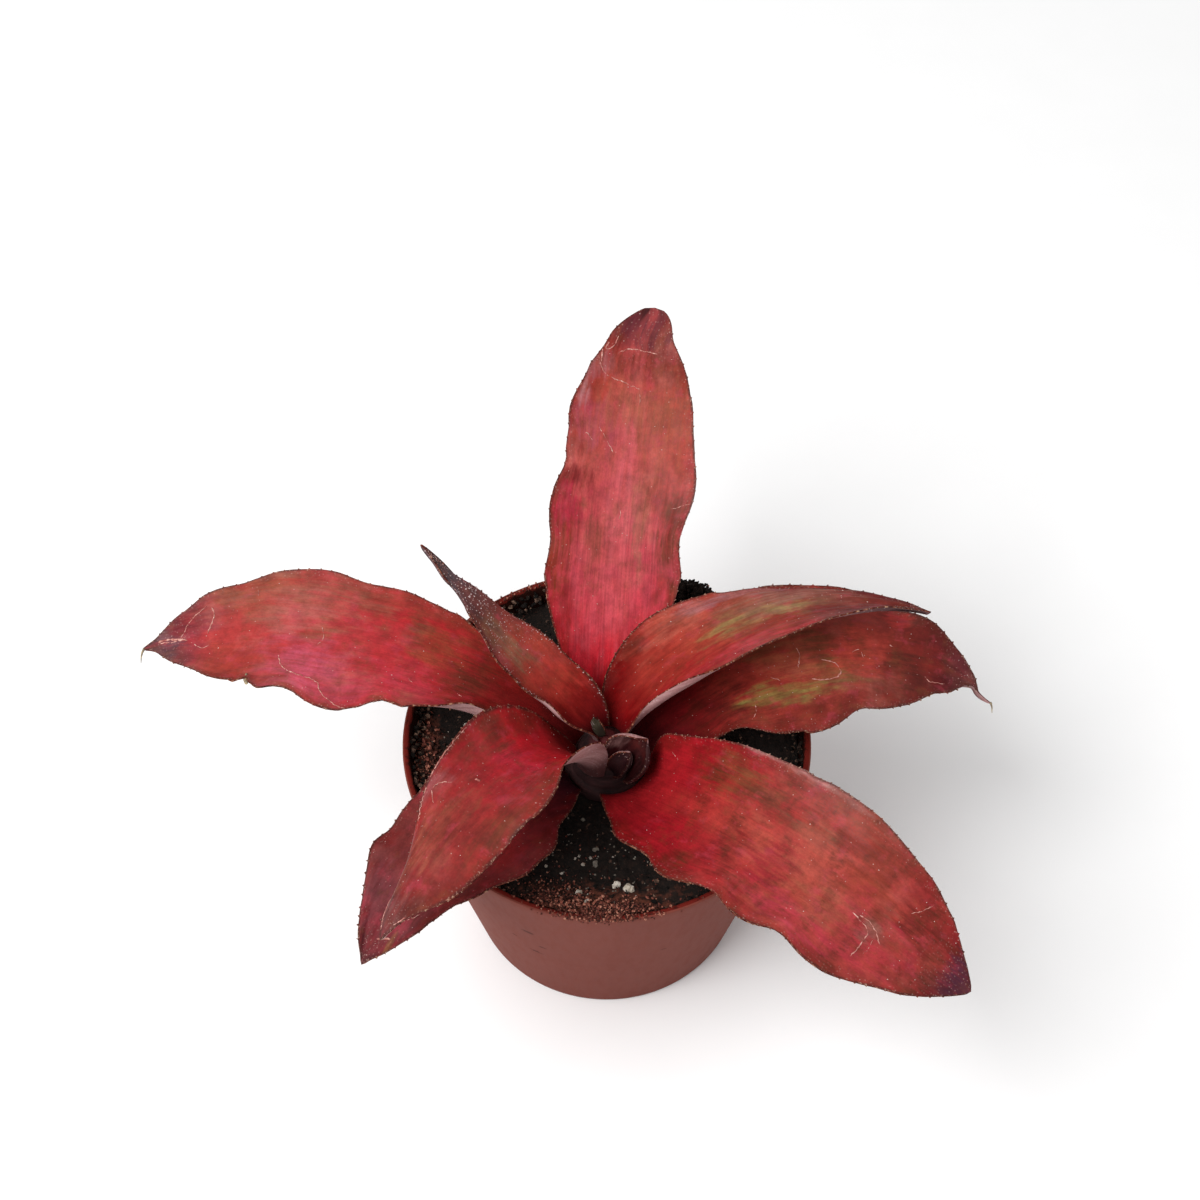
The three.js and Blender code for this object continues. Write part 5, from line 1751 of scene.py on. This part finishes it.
# for each leaf: the lines' radii in mm and their corners
LINES = {
    "leaf_back": [
        (0.13, [(-0.81, 0.86), (-0.7, 0.84), (-0.56, 0.828), (-0.2, 0.82), (0.1, 0.807)]),
        (0.13, [(-0.54, 0.89), (-0.3, 0.905), (0, 0.905), (0.44, 0.9)]),
        (0.1, [(-0.72, 0.68), (-0.69, 0.69), (-0.56, 0.67)]),
        (0.17, [(-0.72, 0.93), (-0.7, 0.908), (-0.79, 0.892), (-0.93, 0.898), (-0.9, 0.912)]),
        (0.26, [(-0.97, 0.893), (-0.9, 0.884), (-0.84, 0.872), (-0.8, 0.862)]),
        (0.2, [(-0.93, 0.875), (-0.85, 0.865), (-0.81, 0.855)]),
        (0.09, [(-0.49, 0.703), (-0.35, 0.68), (-0.2, 0.647)]),
        (0.11, [(0.74, 0.525), (0.86, 0.532), (0.98, 0.54)]),
        (0.1, [(-0.01, 0.52), (0.02, 0.505), (0, 0.49)]),
        (0.09, [(0.11, 0.795), (0.13, 0.78), (0.12, 0.77)])],
    "leaf_left": [

        (0.14, [(-0.36, 0.68), (-0.65, 0.66), (-0.65, 0.58), (-0.79, 0.575), (-0.9, 0.545),
                (-0.98, 0.512)]),
        (0.16, [(0.64, 0.85), (0.5, 0.842), (0.3, 0.845), (0.05, 0.853)]),
        (0.11, [(0.05, 0.92), (0.25, 0.91), (0.5, 0.9), (0.62, 0.882), (0.72, 0.858)]),
        (0.26, [(0.25, 0.975), (0.15, 0.95), (0.02, 0.925), (-0.06, 0.9)]),
        (0.14, [(0.02, 0.97), (-0.06, 0.945), (-0.04, 0.92), (0.1, 0.905)]),
        (0.12, [(-0.14, 0.89), (-0.3, 0.87), (-0.31, 0.855), (-0.22, 0.845)]),
        (0.08, [(0.86, 0.758), (0.7, 0.752), (0.5, 0.748)]),
        (0.1, [(0.18, 0.608), (0, 0.595), (-0.11, 0.605)]),
        (0.09, [(-0.39, 0.405), (-0.42, 0.4), (-0.44, 0.395)]),
        (0.09, [(-0.44, 0.302), (-0.48, 0.3), (-0.51, 0.292)])],
    "leaf_right_lower": [
        (0.15, [(0.34, 0.49), (0.4, 0.53), (0.35, 0.575), (0.16, 0.56), (0.1, 0.525)]),
        (0.12, [(-0.15, 0.468), (-0.01, 0.475), (0.16, 0.463)]),
        (0.1, [(0.2, 0.388), (0.24, 0.4), (0.28, 0.408)]),
        (0.1, [(0.01, 0.605), (-0.06, 0.623), (0.09, 0.633)]),
        (0.1, [(-0.2, 0.688), (-0.22, 0.7), (-0.17, 0.71)]),
        (0.11, [(0.41, 0.797), (0.55, 0.81), (0.58, 0.83), (0.62, 0.855)]),
        (0.11, [(0.55, 0.325), (0.7, 0.32), (0.81, 0.302)])],
    "leaf_front_right": [
        (0.13, [(0.11, 0.718), (0.15, 0.745), (0.2, 0.768), (0.45, 0.768), (0.66, 0.765)]),
        (0.13, [(0.09, 0.733), (0.09, 0.768), (0.31, 0.8)]),
        (0.08, [(0.3, 0.782), (0.42, 0.787), (0.55, 0.782)]),
        (0.11, [(-0.41, 0.815), (-0.57, 0.83), (-0.79, 0.843)]),
        (0.1, [(-0.68, 0.135), (-0.62, 0.15), (-0.56, 0.16)])],
    "leaf_front_left_upper": [
        (0.13, [(0.62, 0.573), (0.79, 0.593), (0.86, 0.623), (0.68, 0.645)]),
        (0.32, [(0.34, 0.522), (0.3, 0.524), (0.25, 0.522)]),
        (0.13, [(-0.66, 0.95), (-0.85, 0.935), (-0.9, 0.915)]),
        (0.1, [(0.96, 0.865), (0.9, 0.92), (0.69, 0.98)]),
        (0.12, [(0.97, 0.43), (0.985, 0.5), (0.985, 0.6), (0.97, 0.66), (0.9, 0.715)])],
    "leaf_front_left_lower": [
        (0.4, [(-0.02, 0.92), (-0.25, 0.907), (-0.51, 0.902)]),
        (0.11, [(-0.39, 0.835), (-0.5, 0.81), (-0.57, 0.79)])],
}


def crust_finish(name, roughness, stretch, seed, stops):
    paint = Paint(name, roughness, 0.2)
    broken = paint.cloud(paint.place_mm(), stretch, seed)
    paint.ramp(broken, stops)
    return paint.finished(broken, 0.08, 0.4)


line_stops = [(0.35, "8e4a44"), (0.52, "b87a70"), (0.72, "d8b0a4")]
line_paint = crust_finish("dried_line", 0.75, 1.3, 2, line_stops)
line_rng = random.Random(52)
paths = [dried_line(line_rng, cad, *line) for cad, lines in LINES.items() for line in lines]
threads("dried_lines", paths, line_paint)

# %% [markdown]
# The points of two leaves have dried to a bent thread, and a torn spot on the left leaf's left
# margin has healed with a pale crust. They are swept like the fibres, in a straw coloured finish.


# %% Dried points
def beyond(cad, moves, radius):
    """A thread that leaves a leaf's point and goes on by the given moves in mm."""
    leaf = LEAVES[cad]
    start = upper_face(leaf, 0.0, 1.0) + direction(leaf, np.array(1.0)) * (leaf["tip"] - 0.6)
    start = start + trimmed(cad, 0.0, np.array(1.0))
    path = np.array([start, *(start + np.array(move) for move in moves)])
    fine = np.linspace(0, len(path) - 1, 4 * len(path))
    return along_path(fine, range(len(path)), path), radius * np.linspace(1, 0.25, len(fine))


straw_stops = [(0.3, "54483e"), (0.5, "84745e"), (0.75, "c4b48e")]
straw_paint = crust_finish("straw", 0.7, 0.9, 6, straw_stops)
torn = on_leaf("leaf_left", [-0.76, -0.83, -0.89, -0.94], [0.73, 0.726, 0.722, 0.719], 0.1)
paths = [
    beyond("leaf_left", [(-0.6, -0.4, -1.0), (-1.0, -0.8, -2.3), (-1.3, -1.1, -4.0)], 0.32),
    beyond("leaf_right_lower", [(0.4, -0.7, -1.0), (0.5, -1.4, -2.2)], 0.26),
    (torn, [0.2, 0.5, 0.65, 0.4]),
]
threads("dried_points", paths, straw_paint)
